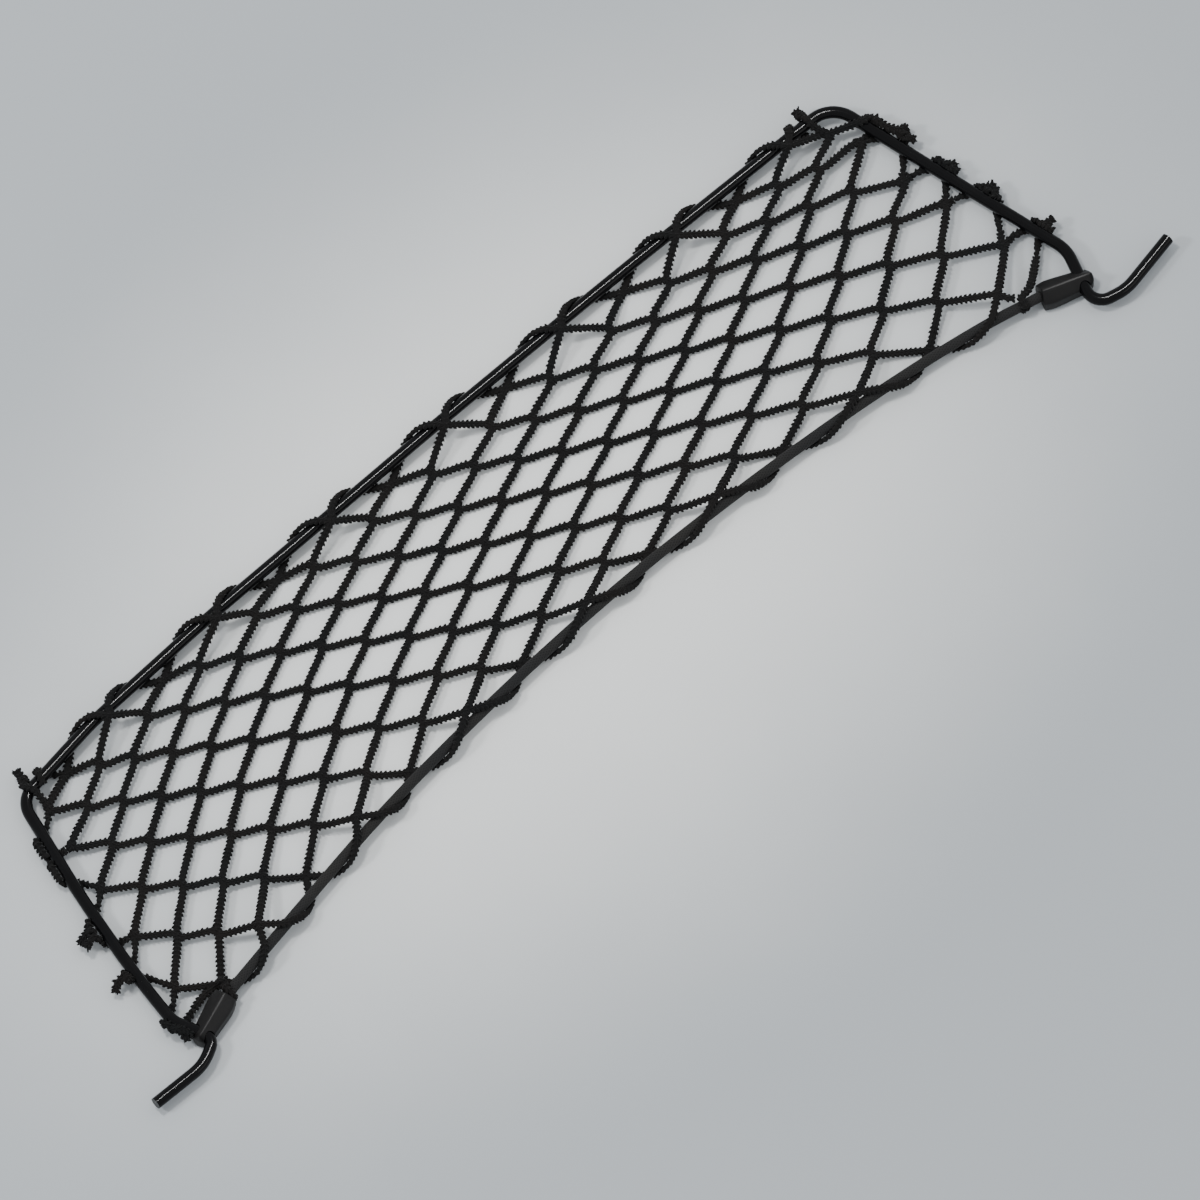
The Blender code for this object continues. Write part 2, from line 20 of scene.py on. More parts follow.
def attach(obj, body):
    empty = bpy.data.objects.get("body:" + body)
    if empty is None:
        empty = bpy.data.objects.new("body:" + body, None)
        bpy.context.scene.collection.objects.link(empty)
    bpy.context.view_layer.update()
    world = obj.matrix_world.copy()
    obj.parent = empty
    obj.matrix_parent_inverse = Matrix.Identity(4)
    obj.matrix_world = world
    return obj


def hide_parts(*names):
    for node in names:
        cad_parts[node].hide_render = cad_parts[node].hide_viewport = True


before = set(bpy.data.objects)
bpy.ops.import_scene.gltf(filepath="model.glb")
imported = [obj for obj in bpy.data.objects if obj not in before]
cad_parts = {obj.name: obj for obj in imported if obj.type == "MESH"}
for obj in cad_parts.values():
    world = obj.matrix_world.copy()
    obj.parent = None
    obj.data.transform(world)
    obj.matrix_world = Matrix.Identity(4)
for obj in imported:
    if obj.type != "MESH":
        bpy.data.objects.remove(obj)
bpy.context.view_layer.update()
MM = 0.001
UP = Vector((0, 0, 1))


# %% [markdown]
# ## Named sizes
#
# A maker would start from the rod, because everything hangs on it. Its bends are a short table of
# corner points and bend radii, in millimetres on the plan of the lying net. Rows and columns of
# knots come from a second table: each column has an end on the rod and an end on the elastic. The
# same tables make the solids, so the looks and the solids agree. The plan's own origin is the
# middle of the rod's long side, and PLAN_CENTRE moves it to the centre of the part.

# %% Sizes and tables
PLAN_CENTRE = Vector((2.249, -75.4768))
ROD_RADIUS, ELASTIC_RADIUS = 3.0, 2.6
CORD_WIDTH, CORD_THICK, CLEARANCE = 4.1, 3.0, 0.35
CORD_PRESS = 0.92  # how thick the cord stays where it hugs a rail
STEP_HALF = math.cos(math.radians(22.5))  # the solid cord rounds a rail in eight flats: flat to corner
ROD_LEVEL = CORD_THICK + (ROD_RADIUS + CLEARANCE) / STEP_HALF
ELASTIC_LEVEL = CORD_THICK + (ELASTIC_RADIUS + CLEARANCE) / STEP_HALF
NET_LEVEL, NET_SAG, LEG_SAG = 6.2, 4.4, 1.6
SAG_SLIP = Vector((0.338, 0.352))  # how far a knot slips on the plan for each millimetre it sinks
MIDDLE_COLUMN, COLUMN_REACH = 5, 14  # the sag fades from here out to the legs
UNDER_KNOT_LEVEL = 0.5 * CORD_THICK  # edge knots lie flat under a rail, or up over it
OVER_KNOT_LEVEL = {"rod": 11.2, "elastic": 10.5}

Bend = namedtuple("Bend", "x y radius")
ROD_BENDS = (
    Bend(-332.9, -157.2, 0),  # left hook's cut end
    Bend(-302.5, -158.4, 25),
    Bend(-288.6, -151.5, 6),  # at the left clip
    Bend(-296.9, -131.2, 14),
    Bend(-292.6, -100.0, 300),
    Bend(-283.3, -54.5, 300),
    Bend(-268.3, 4.0, 13),  # left corner
    Bend(-215.0, 10.3, 120),
    Bend(-140.0, 12.1, 500),
    Bend(20.0, 10.7, 1500),
    Bend(130.0, 8.2, 1500),
    Bend(270.1, 2.9, 15),  # right corner
    Bend(283.4, -63.5, 600),
    Bend(297.6, -131.7, 18),
    Bend(286.0, -162.7, 8),
    Bend(303.8, -167.1, 25),
    Bend(337.0, -161.3, 0),  # right hook's cut end
)
LEFT_CORNER, RIGHT_CORNER = Vector((-268.3, 0.0)), Vector((268.3, 0.0))

Station = namedtuple("Station", "x y")
ELASTIC_STATIONS = (
    Station(271.0, -141.0),
    Station(240.0, -133.6),
    Station(200.0, -126.8),
    Station(150.0, -120.6),
    Station(90.0, -115.6),
    Station(30.0, -112.9),
    Station(-30.0, -113.2),
    Station(-90.0, -116.0),
    Station(-150.0, -121.2),
    Station(-210.0, -129.8),
    Station(-269.4, -139.2),
)
LEFT_EYE, RIGHT_EYE = Vector((-290.6, -146.0)), Vector((292.2, -148.9))  # where the clips hold the rod

FIRST_ROW, LAST_ROW = -7, 3
FIRST_COLUMN, LAST_COLUMN = -9, 19
Column = namedtuple("Column", "column rod_x elastic_x rod_y elastic_y fan")  # fan crowds it to the rod
COLUMNS = (
    Column(-9, -258.7, -285.9, 0.9, -136.6, -47),
    Column(-8, -241.6, -269.1, 0.0, -132.6, -42),
    Column(-6, -208.1, -233.3, 4.9, -123.7, -24),
    Column(-4, -173.1, -196.3, 6.9, -117.9, -21),
    Column(-2, -135.0, -160.1, 8.1, -115.3, -19),
    Column(0, -97.0, -122.6, 8.9, -112.9, -15),
    Column(4, -22.2, -42.9, 5.8, -109.5, -5),
    Column(8, 52.8, 41.0, 2.0, -109.5, -7),
    Column(12, 129.4, 126.2, 0.0, -114.3, -12),
    Column(14, 165.8, 170.5, -1.7, -119.5, -25),
    Column(16, 201.9, 214.2, -3.2, -123.6, -41),
    Column(18, 238.0, 256.1, -2.0, -127.2, -60),
    Column(19, 255.2, 279.2, 0.4, -126.6, -56),
)
Pull = namedtuple("Pull", "row column dx dy")  # single knots that are pulled aside
PULLED_KNOTS = (
    Pull(-4, 19, 3.0, 4.5),
    Pull(-2, 19, -1.6, -2.0),
    Pull(0, 19, 0.0, 3.0),
    Pull(3, -8, 4.4, 1.6),
)
EDGE_INSET = {"over": 4.6, "under": 6.6}  # how far inside the rail's middle the edge knots lie


# %% [markdown]
# ## Paths
#
# A bent rod is straight runs joined by arcs, so its path is the corner table with each corner
# rounded at its own radius. The stretched elastic is one smooth curve, so it takes a spline
# through its stations. Both are kept as a Rail: it answers where a point at some distance along
# it lies, which side is outwards, and where a cord that hugs it at some clock angle runs.


# %% Rounded and smooth paths
ARC_STEP, STATION_STEPS = math.radians(5), 8
PLACE_SPACING = 1.5  # about this far apart, in millimetres, are the places on a cord's path


def turned(vector, angle):
    """A plan direction, turned by an angle against the clock."""
    c, s = math.cos(angle), math.sin(angle)
    return Vector((vector.x * c - vector.y * s, vector.x * s + vector.y * c))


def rounded_path(bends, arc_step):
    """The plan points of a wire that runs from bend to bend, each turned at its own radius."""
    points = [Vector((bends[0].x, bends[0].y))]
    for before, bend, after in zip(bends, bends[1:], bends[2:]):
        corner = Vector((bend.x, bend.y))
        back = (Vector((before.x, before.y)) - corner).normalized()
        ahead = (Vector((after.x, after.y)) - corner).normalized()
        turn = math.pi - back.angle(ahead)
        tangent = bend.radius * math.tan(turn / 2)
        centre = corner + (back + ahead).normalized() * math.hypot(tangent, bend.radius)
        start = corner + back * tangent - centre
        side = 1 if ahead.cross(back) > 0 else -1
        steps = max(1, math.ceil(turn / arc_step))
        for step in range(steps + 1):
            points.append(centre + turned(start, side * turn * step / steps))
    points.append(Vector((bends[-1].x, bends[-1].y)))
    return points


def smooth_path(stations, steps):
    """Points on a smooth curve through the stations, in two or three dimensions."""
    ends = [2 * stations[0] - stations[1], *stations, 2 * stations[-1] - stations[-2]]
    points = []
    for a, b, c, d in zip(ends, ends[1:], ends[2:], ends[3:]):
        for step in range(steps):
            t = step / steps
            curve = 2 * b + (c - a) * t + (2 * a - 5 * b + 4 * c - d) * t**2
            points.append(0.5 * (curve + (3 * b - a - 3 * c + d) * t**3))
    return points + [stations[-1]]


def even_path(stops):
    """A smooth curve through unevenly spaced stops, with evenly spaced places on it."""
    gaps = [max((b - a).length, 1e-6) for a, b in zip(stops, stops[1:])]
    slopes = [(b - a) / gap for a, b, gap in zip(stops, stops[1:], gaps)]
    leans = [slopes[0]]
    for before, after, gap_in, gap_out in zip(slopes, slopes[1:], gaps, gaps[1:]):
        leans.append((before * gap_in + after * gap_out) / (gap_in + gap_out))
    leans.append(slopes[-1])
    points, places = [], []
    for i, gap in enumerate(gaps):
        count = max(1, round(gap / PLACE_SPACING))
        for step in range(count):
            t = step / count
            points.append(
                stops[i] * (2 * t**3 - 3 * t**2 + 1) + leans[i] * gap * (t**3 - 2 * t**2 + t)
                + stops[i + 1] * (3 * t**2 - 2 * t**3) + leans[i + 1] * gap * (t**3 - t**2)
            )
            places.append(i + t)
    return points + [stops[-1]], places + [len(gaps)]


Section = namedtuple("Section", "centre up size", defaults=(1.0,))


class Rail:
    """What the net is laced round: a plan path with the net on its right, a level and a radius."""

    def __init__(self, path, level, radius):
        self.path, self.level, self.radius = path, level, radius
        self.lengths = [0.0]
        for a, b in zip(path, path[1:]):
            self.lengths.append(self.lengths[-1] + (b - a).length)

    def at(self, along):
        """The plan point at a distance along the path, and the outward direction there."""
        index = min(max(int(np.searchsorted(self.lengths, along)) - 1, 0), len(self.path) - 2)
        step = (self.path[index + 1] - self.path[index]).normalized()
        return self.path[index] + step * (along - self.lengths[index]), turned(step, math.pi / 2)

    def near(self, place):
        """The distance along the path of the point nearest a place."""
        found = []
        for index, (a, b) in enumerate(zip(self.path, self.path[1:])):
            step = b - a
            part = min(max((place - a).dot(step) / step.length_squared, 0), 1)
            found.append(((a + step * part - place).length, self.lengths[index] + part * step.length))
        return min(found)[1]

    def round(self, along, clock, lift=0.0):
        """The cord's centre and outer side where it hugs the rail: 90 is the top, 0 outside."""
        point, outward = self.at(along)
        angle = math.radians(clock)
        radial = Vector((*(outward * math.cos(angle)), math.sin(angle)))
        reach = self.radius + CORD_THICK / 2 * CORD_PRESS + lift
        return Section(Vector((*point, self.level)) + radial * reach, radial)


ROD = Rail(rounded_path(ROD_BENDS, ARC_STEP), ROD_LEVEL, ROD_RADIUS)
STATIONS = [Vector(station) for station in ELASTIC_STATIONS]
ELASTIC = Rail(smooth_path(STATIONS, STATION_STEPS), ELASTIC_LEVEL, ELASTIC_RADIUS)
print("rod", round(ROD.lengths[-1]), "mm, elastic between the clips", round(ELASTIC.lengths[-1]), "mm")

# %% [markdown]
# ## View and light
#
# The net lies on a plain pale floor and is seen from high up, turned so that its long side climbs
# to the right. A long lens far away keeps the mesh even from end to end. One broad soft light from
# the upper left gives the cords a faint shadow down to the right, and a lower one a second, fainter
# shadow. Those two stay out of the gloss, as behind a diffuser. A narrow strip puts the thin bright
# line on the coated bar, and a low panel in front lifts the near faces of the clips.

# %% Camera and lights
VIEW_AZIMUTH, VIEW_ELEVATION = -43.886, 63.99
VIEW_DISTANCE, FRAME_WIDTH = 26.0, 0.57582  # in metres: how far away, and how wide a view
VIEW_TARGET = Vector((0.00355, -0.0358, 0.0062))
SENSOR_WIDTH = 36.0

Lamp = namedtuple("Lamp", "name azimuth elevation width height watts colour in_gloss in_matt")
LAMP_DISTANCE = 3.0  # in metres, as are the widths and heights
LAMPS = (
    Lamp("ceiling", -146, 71, 0.42, 0.42, 40, (1.0, 0.985, 0.965), False, True),
    Lamp("window", -119, 43, 0.40, 0.40, 29, (0.99, 0.995, 1.0), False, True),
    Lamp("strip", 88, 70.5, 0.09, 1.2, 120, (1.0, 1.0, 1.0), True, False),
    Lamp("low_panel", 28, 27, 1.2, 0.8, 6, (1.0, 0.99, 0.98), True, False),
)
ROOM_COLOUR, ROOM_STRENGTH = (0.83, 0.85, 0.87, 1), 0.93


def direction(azimuth, elevation):
    """From the object towards a viewer: azimuth 0 stands on the -Y side, 90 on the +X side."""
    a, e = math.radians(azimuth), math.radians(elevation)
    return Vector((math.sin(a) * math.cos(e), -math.cos(a) * math.cos(e), math.sin(e)))


def add_to_scene(name, data):
    """An object that holds this camera, lamp or mesh, linked to the scene."""
    thing = bpy.data.objects.new(name, data)
    bpy.context.scene.collection.objects.link(thing)
    return thing


lens = bpy.data.cameras.new("view")
lens.sensor_width = SENSOR_WIDTH
lens.lens = SENSOR_WIDTH * VIEW_DISTANCE / FRAME_WIDTH
lens.clip_end = 100.0
camera = add_to_scene("view", lens)
camera.location = VIEW_TARGET + direction(VIEW_AZIMUTH, VIEW_ELEVATION) * VIEW_DISTANCE
camera.rotation_euler = (VIEW_TARGET - camera.location).to_track_quat("-Z", "Y").to_euler()
bpy.context.scene.camera = camera

for lamp in LAMPS:
    light = bpy.data.lights.new(lamp.name, "AREA")
    light.shape = "RECTANGLE"
    light.size, light.size_y = lamp.width, lamp.height
    light.energy = lamp.watts
    light.color = lamp.colour
    holder = add_to_scene(lamp.name, light)
    holder.location = direction(lamp.azimuth, lamp.elevation) * LAMP_DISTANCE
    holder.rotation_euler = (-holder.location).to_track_quat("-Z", "Y").to_euler()
    holder.visible_glossy, holder.visible_diffuse = lamp.in_gloss, lamp.in_matt

world = bpy.data.worlds.new("room")
bpy.context.scene.world = world
world.use_nodes = True
air = world.node_tree.nodes["Background"]
air.inputs["Color"].default_value = ROOM_COLOUR
air.inputs["Strength"].default_value = ROOM_STRENGTH
print("lamps:", [lamp.name for lamp in LAMPS], "view:", round(FRAME_WIDTH * 1000), "mm wide")

# %% [markdown]
# ## A small kit for node trees
#
# Shader trees and geometry trees are both nodes joined by links, so a few short helpers keep the
# recipes readable: one adds a node and fills its sockets, one joins two sockets, one does
# arithmetic and one blends two colours. A group's sockets are made with `interface.new_socket`,
# inputs before outputs. The names of the socket kinds come first, since every group needs them.


# %% Node helpers
FLOAT, INT, COLOUR = "NodeSocketFloat", "NodeSocketInt", "NodeSocketColor"
GEOMETRY, MATERIAL = "NodeSocketGeometry", "NodeSocketMaterial"


def node(tree, kind, settings=None, **values):
    """Adds a node, sets its properties, and fills or links its inputs by name."""
    made = tree.nodes.new(kind)
    for key, value in (settings or {}).items():
        setattr(made, key, value)
    for key, value in values.items():
        fill(tree, made.inputs[key.replace("_", " ")], value)
    return made


def fill(tree, socket, value):
    """Links a socket to another one, or sets it to a plain value."""
    if isinstance(value, bpy.types.NodeSocket):
        tree.links.new(value, socket)
    else:
        socket.default_value = value


def maths(tree, operation, first, second=0.0):
    """One step of arithmetic on numbers or sockets."""
    made = tree.nodes.new("ShaderNodeMath")
    made.operation = operation
    fill(tree, made.inputs[0], first)
    fill(tree, made.inputs[1], second)
    return made.outputs[0]


def blend_colour(tree, factor, first, second):
    """The first colour at factor 0 and the second at 1."""
    made = tree.nodes.new("ShaderNodeMix")
    made.data_type = "RGBA"
    for socket, value in zip((made.inputs[0], made.inputs[6], made.inputs[7]), (factor, first, second)):
        fill(tree, socket, value)
    return made.outputs[2]


def new_group(name, inputs, outputs, kind="ShaderNodeTree"):
    """A node group with its named inputs, each with a starting value, and its named outputs."""
    tree = bpy.data.node_groups.new(name, kind)
    for title, socket_kind, value in inputs:
        socket = tree.interface.new_socket(title, in_out="INPUT", socket_type=socket_kind)
        if value is not None:
            socket.default_value = value
    for title, socket_kind in outputs:
        tree.interface.new_socket(title, in_out="OUTPUT", socket_type=socket_kind)
    return tree, tree.nodes.new("NodeGroupInput"), tree.nodes.new("NodeGroupOutput")


def use_group(tree, group, **values):
    """Places a group in a material's tree, with this finish's own values."""
    made = tree.nodes.new("ShaderNodeGroup")
    made.node_tree = group
    for key, value in values.items():
        fill(tree, made.inputs[key.replace("_", " ")], value)
    return made


# %% [markdown]
# ## Effects shared by the finishes
#
# Two effects come back in several finishes. "Handling" is the dust and rubbed patches that any
# black thing picks up: it lightens the colour a little and changes the gloss in soft patches.
# "Fibres" is the fine fuzz of spun yarn: a fine noise for the bump and a slow one that drifts
# between two near-black dyes. Each is one group with named inputs, placed in a material with that
# finish's own values.

# %% Shared groups: handling and fibres
handling, ins, outs = new_group(
    "handling",
    [("Base", COLOUR, (0.02, 0.02, 0.02, 1)), ("Dust", COLOUR, (0.2, 0.2, 0.2, 1)), ("Amount", FLOAT, 0.2),
     ("Scale", FLOAT, 60.0), ("Roughness", FLOAT, 0.4), ("Spread", FLOAT, 0.15)],
    [("Colour", COLOUR), ("Roughness", FLOAT)],
)
place = node(handling, "ShaderNodeTexCoord").outputs["Object"]
patches = node(handling, "ShaderNodeTexNoise", Vector=place, Scale=ins.outputs["Scale"],
               Detail=5.0, Roughness=0.62)
speck = node(handling, "ShaderNodeTexNoise", Vector=place, Scale=2600.0, Detail=2.0, Roughness=0.5)
soft = maths(handling, "MULTIPLY", patches.outputs["Fac"], speck.outputs["Fac"])
mask = node(handling, "ShaderNodeMapRange", {"interpolation_type": "SMOOTHSTEP"}, Value=soft,
            From_Min=0.22, From_Max=0.46)
amount = maths(handling, "MULTIPLY", mask.outputs["Result"], ins.outputs["Amount"])
dusted = blend_colour(handling, amount, ins.outputs["Base"], ins.outputs["Dust"])
fill(handling, outs.inputs["Colour"], dusted)
around_middle = maths(handling, "SUBTRACT", patches.outputs["Fac"], 0.5)
swing = maths(handling, "MULTIPLY", around_middle, ins.outputs["Spread"])
fill(handling, outs.inputs["Roughness"], maths(handling, "ADD", ins.outputs["Roughness"], swing))

fibres, ins, outs = new_group(
    "fibres",
    [("First dye", COLOUR, (0.02, 0.02, 0.02, 1)), ("Second dye", COLOUR, (0.03, 0.025, 0.02, 1)),
     ("Drift scale", FLOAT, 30.0), ("Fibre scale", FLOAT, 4000.0)],
    [("Colour", COLOUR), ("Height", FLOAT)],
)
place = node(fibres, "ShaderNodeTexCoord").outputs["Object"]
drift = node(fibres, "ShaderNodeTexNoise", Vector=place, Scale=ins.outputs["Drift scale"], Detail=3.0)
strand_noise = node(fibres, "ShaderNodeTexNoise", Vector=place, Scale=ins.outputs["Fibre scale"], Detail=4.0)
share = node(fibres, "ShaderNodeMapRange", Value=drift.outputs["Fac"], From_Min=0.35, From_Max=0.65)
dyed = blend_colour(fibres, share.outputs["Result"], ins.outputs["First dye"], ins.outputs["Second dye"])
pale = maths(fibres, "MULTIPLY", maths(fibres, "POWER", strand_noise.outputs["Fac"], 3.0), 0.5)
fill(fibres, outs.inputs["Colour"], blend_colour(fibres, pale, dyed, (0.05, 0.05, 0.05, 1)))
fill(fibres, outs.inputs["Height"], strand_noise.outputs["Fac"])


def new_material(name, roughness, **sockets):
    """A Principled material with its plain numbers set on its own sockets."""
    material = bpy.data.materials.new(name)
    material.use_nodes = True
    shader = material.node_tree.nodes["Principled BSDF"]
    shader.inputs["Roughness"].default_value = roughness
    for key, value in sockets.items():
        shader.inputs[key.replace("_", " ")].default_value = value
    return material, material.node_tree, shader


def add_bump(tree, shader, height, distance, strength):
    """Relief of this depth, in metres, on a finish."""
    bump = node(tree, "ShaderNodeBump", Height=height, Distance=distance, Strength=strength)
    tree.links.new(bump.outputs["Normal"], shader.inputs["Normal"])


# %% [markdown]
# ## The floor
#
# The floor is a smooth pale board with the faint mottling of a wiped surface. A plane is enough.
# Its grey is palest in an oval in the middle, a painted pool of light that falls off to a painted,
# bluer shade at the edges, and it drifts by a few hundredths everywhere, so that it does not read
# as a flat card.

# %% Floor
FLOOR_HALF = 3.0
# painted light and shade: the pale of the lit middle, and the painted, bluer shade of the edges
POOL_LIT_PALE, EDGE_SHADE_GREY = (0.892, 0.910, 0.902, 1), (0.441, 0.473, 0.500, 1)
LIGHT_POOL_SQUEEZE = (1.0, 1.58, 1.0)  # the painted pool of light is longer along the net than across it
LIGHT_POOL_INNER, LIGHT_POOL_OUTER = 0.08, 0.48  # from here out to here the painted light falls off from pale to the painted shade of grey
MOTTLE = 0.08

bm = bmesh.new()
bmesh.ops.create_grid(bm, x_segments=1, y_segments=1, size=FLOOR_HALF)
floor_mesh = bpy.data.meshes.new("floor")
bm.to_mesh(floor_mesh)
bm.free()
floor = add_to_scene("floor", floor_mesh)
board, tree, shader = new_material("board", 0.72, Specular_IOR_Level=0.25)
place = node(tree, "ShaderNodeTexCoord").outputs["Object"]
cloud = node(tree, "ShaderNodeTexNoise", Vector=place, Scale=5.0, Detail=4.0, Roughness=0.55)
squeezed = node(tree, "ShaderNodeVectorMath", {"operation": "MULTIPLY"})
fill(tree, squeezed.inputs[0], place)
squeezed.inputs[1].default_value = LIGHT_POOL_SQUEEZE
middle = node(tree, "ShaderNodeVectorMath", {"operation": "LENGTH"})
fill(tree, middle.inputs[0], squeezed.outputs["Vector"])
spread = maths(tree, "ADD", middle.outputs["Value"], maths(tree, "MULTIPLY", cloud.outputs["Fac"], MOTTLE))
# painted light and shade: 0 inside the painted pool of light, 1 out in the painted shade
outwards = node(tree, "ShaderNodeMapRange", {"interpolation_type": "SMOOTHSTEP"}, Value=spread,
                From_Min=LIGHT_POOL_INNER, From_Max=LIGHT_POOL_OUTER)
fill(tree, shader.inputs["Base Color"], blend_colour(tree, outwards.outputs["Result"], POOL_LIT_PALE, EDGE_SHADE_GREY))
floor_mesh.materials.append(board)


# %% [markdown]
# ## From chains to solids
#
# Everything long and thin here starts as a chain: sections in a row, written into a mesh as points
# and edges, with each point's upward direction and size kept as attributes. A geometry tree reads
# them back, sweeps or sets pieces along the chain, and the result is kept as a plain mesh. Edges
# sharper than the crease angle stay crisp, and all the others are shaded smooth.

# %% Chains, attributes and grown meshes
SWEPT_CREASE, MOULDED_CREASE = 40, 32  # in degrees: edges sharper than this stay crisp


def polyline(name, chains):
    """A mesh of edge chains, with each point's upward direction and size kept as attributes."""
    points, edges, ups, sizes = [], [], [], []
    for chain in chains:
        first = len(points)
        for section in chain:
            plan = section.centre.to_2d() - PLAN_CENTRE
            points.append((plan.x * MM, plan.y * MM, section.centre.z * MM))
            ups.append(tuple(section.up.normalized()))
            sizes.append(section.size)
        edges += [(i, i + 1) for i in range(first, len(points) - 1)]
    data = bpy.data.meshes.new(name)
    data.from_pydata(points, edges, [])
    data.attributes.new("up", "FLOAT_VECTOR", "POINT").data.foreach_set("vector", np.ravel(ups))
    data.attributes.new("size", "FLOAT", "POINT").data.foreach_set("value", sizes)
    return data


def named(tree, name, kind):
    """A named attribute, read."""
    made = tree.nodes.new("GeometryNodeInputNamedAttribute")
    made.data_type = kind
    made.inputs["Name"].default_value = name
    return made.outputs["Attribute"]


def store(tree, geometry, name, value, kind="FLOAT"):
    """A named attribute, written on the points."""
    made = tree.nodes.new("GeometryNodeStoreNamedAttribute")
    made.data_type = kind
    made.domain = "POINT"
    fill(tree, made.inputs["Geometry"], geometry)
    made.inputs["Name"].default_value = name
    fill(tree, made.inputs["Value"], value)
    return made.outputs["Geometry"]


def path_with_normals(tree, geometry, spacing):
    """The chains as curves, resampled, each with its own upward direction and size."""
    curve = node(tree, "GeometryNodeMeshToCurve", Mesh=geometry)
    evened = node(tree, "GeometryNodeResampleCurve", {"mode": "LENGTH"}, Curve=curve.outputs["Curve"],
                  Length=spacing)
    facing = node(tree, "GeometryNodeSetCurveNormal", {"mode": "FREE"}, Curve=evened.outputs["Curve"])
    fill(tree, facing.inputs["Normal"], named(tree, "up", "FLOAT_VECTOR"))
    sized = node(tree, "GeometryNodeSetCurveRadius", Curve=facing.outputs["Curve"],
                 Radius=named(tree, "size", "FLOAT"))
    return sized.outputs["Curve"]


def put_out(tree, outs, geometry, finish):
    """The end of every tree here: instances made real, and the finish set."""
    solid = node(tree, "GeometryNodeRealizeInstances", Geometry=geometry)
    finished = node(tree, "GeometryNodeSetMaterial", Geometry=solid.outputs["Geometry"], Material=finish)
    fill(tree, outs.inputs["Geometry"], finished.outputs["Geometry"])


def grow(name, data, tree, **inputs):
    """Runs a geometry tree on a mesh and keeps the result as a plain mesh object at the origin."""
    seed = add_to_scene(name, data)
    recipe = seed.modifiers.new("grow", "NODES")
    recipe.node_group = tree
    for item in tree.interface.items_tree:
        key = item.name.replace(" ", "_")
        if item.in_out == "INPUT" and key in inputs:
            recipe[item.identifier] = inputs[key]
    bpy.context.view_layer.update()
    seen = seed.evaluated_get(bpy.context.evaluated_depsgraph_get())
    made = bpy.data.meshes.new_from_object(seen)
    seed.modifiers.remove(recipe)
    seed.data = made
    made.name = name
    shade_smooth(seed, SWEPT_CREASE)
    print(name, "triangles:", sum(len(p.vertices) - 2 for p in made.polygons))
    return seed


def shade_smooth(piece, degrees):
    """Smooth shading, with edges sharper than this left crisp."""
    bm = bmesh.new()
    bm.from_mesh(piece.data)
    for face in bm.faces:
        face.smooth = True
    for edge in bm.edges:
        edge.smooth = len(edge.link_faces) == 2 and edge.calc_face_angle(0) < math.radians(degrees)
    bm.to_mesh(piece.data)
    bm.free()


# %% [markdown]
# ## Sweeping a round bar
#
# The rod and the elastic are one shape each swept along a path, which is what Curve to Mesh does
# in Geometry Nodes. Both use one tree. Its inputs are the radius, the number of sides and the
# spacing of the rings. A `size` attribute on the path lets the cut ends be slightly broken, and the
# tree stores where round and along the bar each point is, for a pattern that has to follow it.

# %% Geometry tree: round bar
bar_tree, ins, outs = new_group(
    "round bar",
    [("Geometry", GEOMETRY, None), ("Radius", FLOAT, 0.003), ("Sides", INT, 24),
     ("Spacing", FLOAT, 0.002), ("Finish", MATERIAL, None)],
    [("Geometry", GEOMETRY)],
    "GeometryNodeTree",
)
path = path_with_normals(bar_tree, ins.outputs["Geometry"], ins.outputs["Spacing"])
length = node(bar_tree, "GeometryNodeSplineParameter").outputs["Length"]
path = store(bar_tree, path, "along", length)
ring = node(bar_tree, "GeometryNodeCurvePrimitiveCircle", Resolution=ins.outputs["Sides"],
            Radius=ins.outputs["Radius"])
spot = node(bar_tree, "GeometryNodeInputPosition").outputs["Position"]
girth = node(bar_tree, "ShaderNodeVectorMath", {"operation": "NORMALIZE"})
fill(bar_tree, girth.inputs[0], spot)
ring = store(bar_tree, ring.outputs["Curve"], "girth", girth.outputs["Vector"], "FLOAT_VECTOR")
swept = node(bar_tree, "GeometryNodeCurveToMesh", Curve=path, Profile_Curve=ring, Fill_Caps=True)
put_out(bar_tree, outs, swept.outputs["Mesh"], ins.outputs["Finish"])

# %% [markdown]
# ## The rod
#
# Round bar about 6 mm thick, bent cold and then coated gloss black. The coating is thin, so the
# highlights run as long crisp lines with a slight ripple, and they break where hands and the net
# have rubbed. The cut ends show as flat faces with a lightly broken edge.

# %% Gloss black coating and the rod
gloss_black, tree, shader = new_material("gloss_black", 0.15, Specular_IOR_Level=0.12)
worn = use_group(tree, handling, Base=(0.0030, 0.0030, 0.0034, 1), Dust=(0.03, 0.03, 0.031, 1),
                 Amount=0.08, Scale=45.0, Roughness=0.14, Spread=0.14)
fill(tree, shader.inputs["Base Color"], worn.outputs["Colour"])
fill(tree, shader.inputs["Roughness"], worn.outputs["Roughness"])
place = node(tree, "ShaderNodeTexCoord").outputs["Object"]
ripple = node(tree, "ShaderNodeTexNoise", Vector=place, Scale=160.0, Detail=2.0, Roughness=0.5)
add_bump(tree, shader, ripple.outputs["Fac"], 0.000004, 0.5)

BROKEN_EDGE = 0.35  # how far each cut end's edge is broken back


def broken_ends(path, level, edge):
    """Sections along a bar whose two cut ends are slightly narrowed."""
    chain = [Section(Vector((*p, level)), UP) for p in path]
    for end, inner in ((0, 1), (-1, -2)):
        way = (chain[inner].centre - chain[end].centre).normalized()
        tip = chain[end]
        near = Section(tip.centre + way * edge, UP)
        chain[end] = tip._replace(size=1 - edge / ROD_RADIUS)
        chain.insert(1 if end == 0 else len(chain) - 1, near)
    return chain


rod = grow("rod", polyline("rod", [broken_ends(ROD.path, ROD_LEVEL, BROKEN_EDGE)]), bar_tree,
           Radius=ROD_RADIUS * MM, Sides=28, Spacing=0.0016, Finish=gloss_black)
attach(rod, "root")
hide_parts("rod_frame")
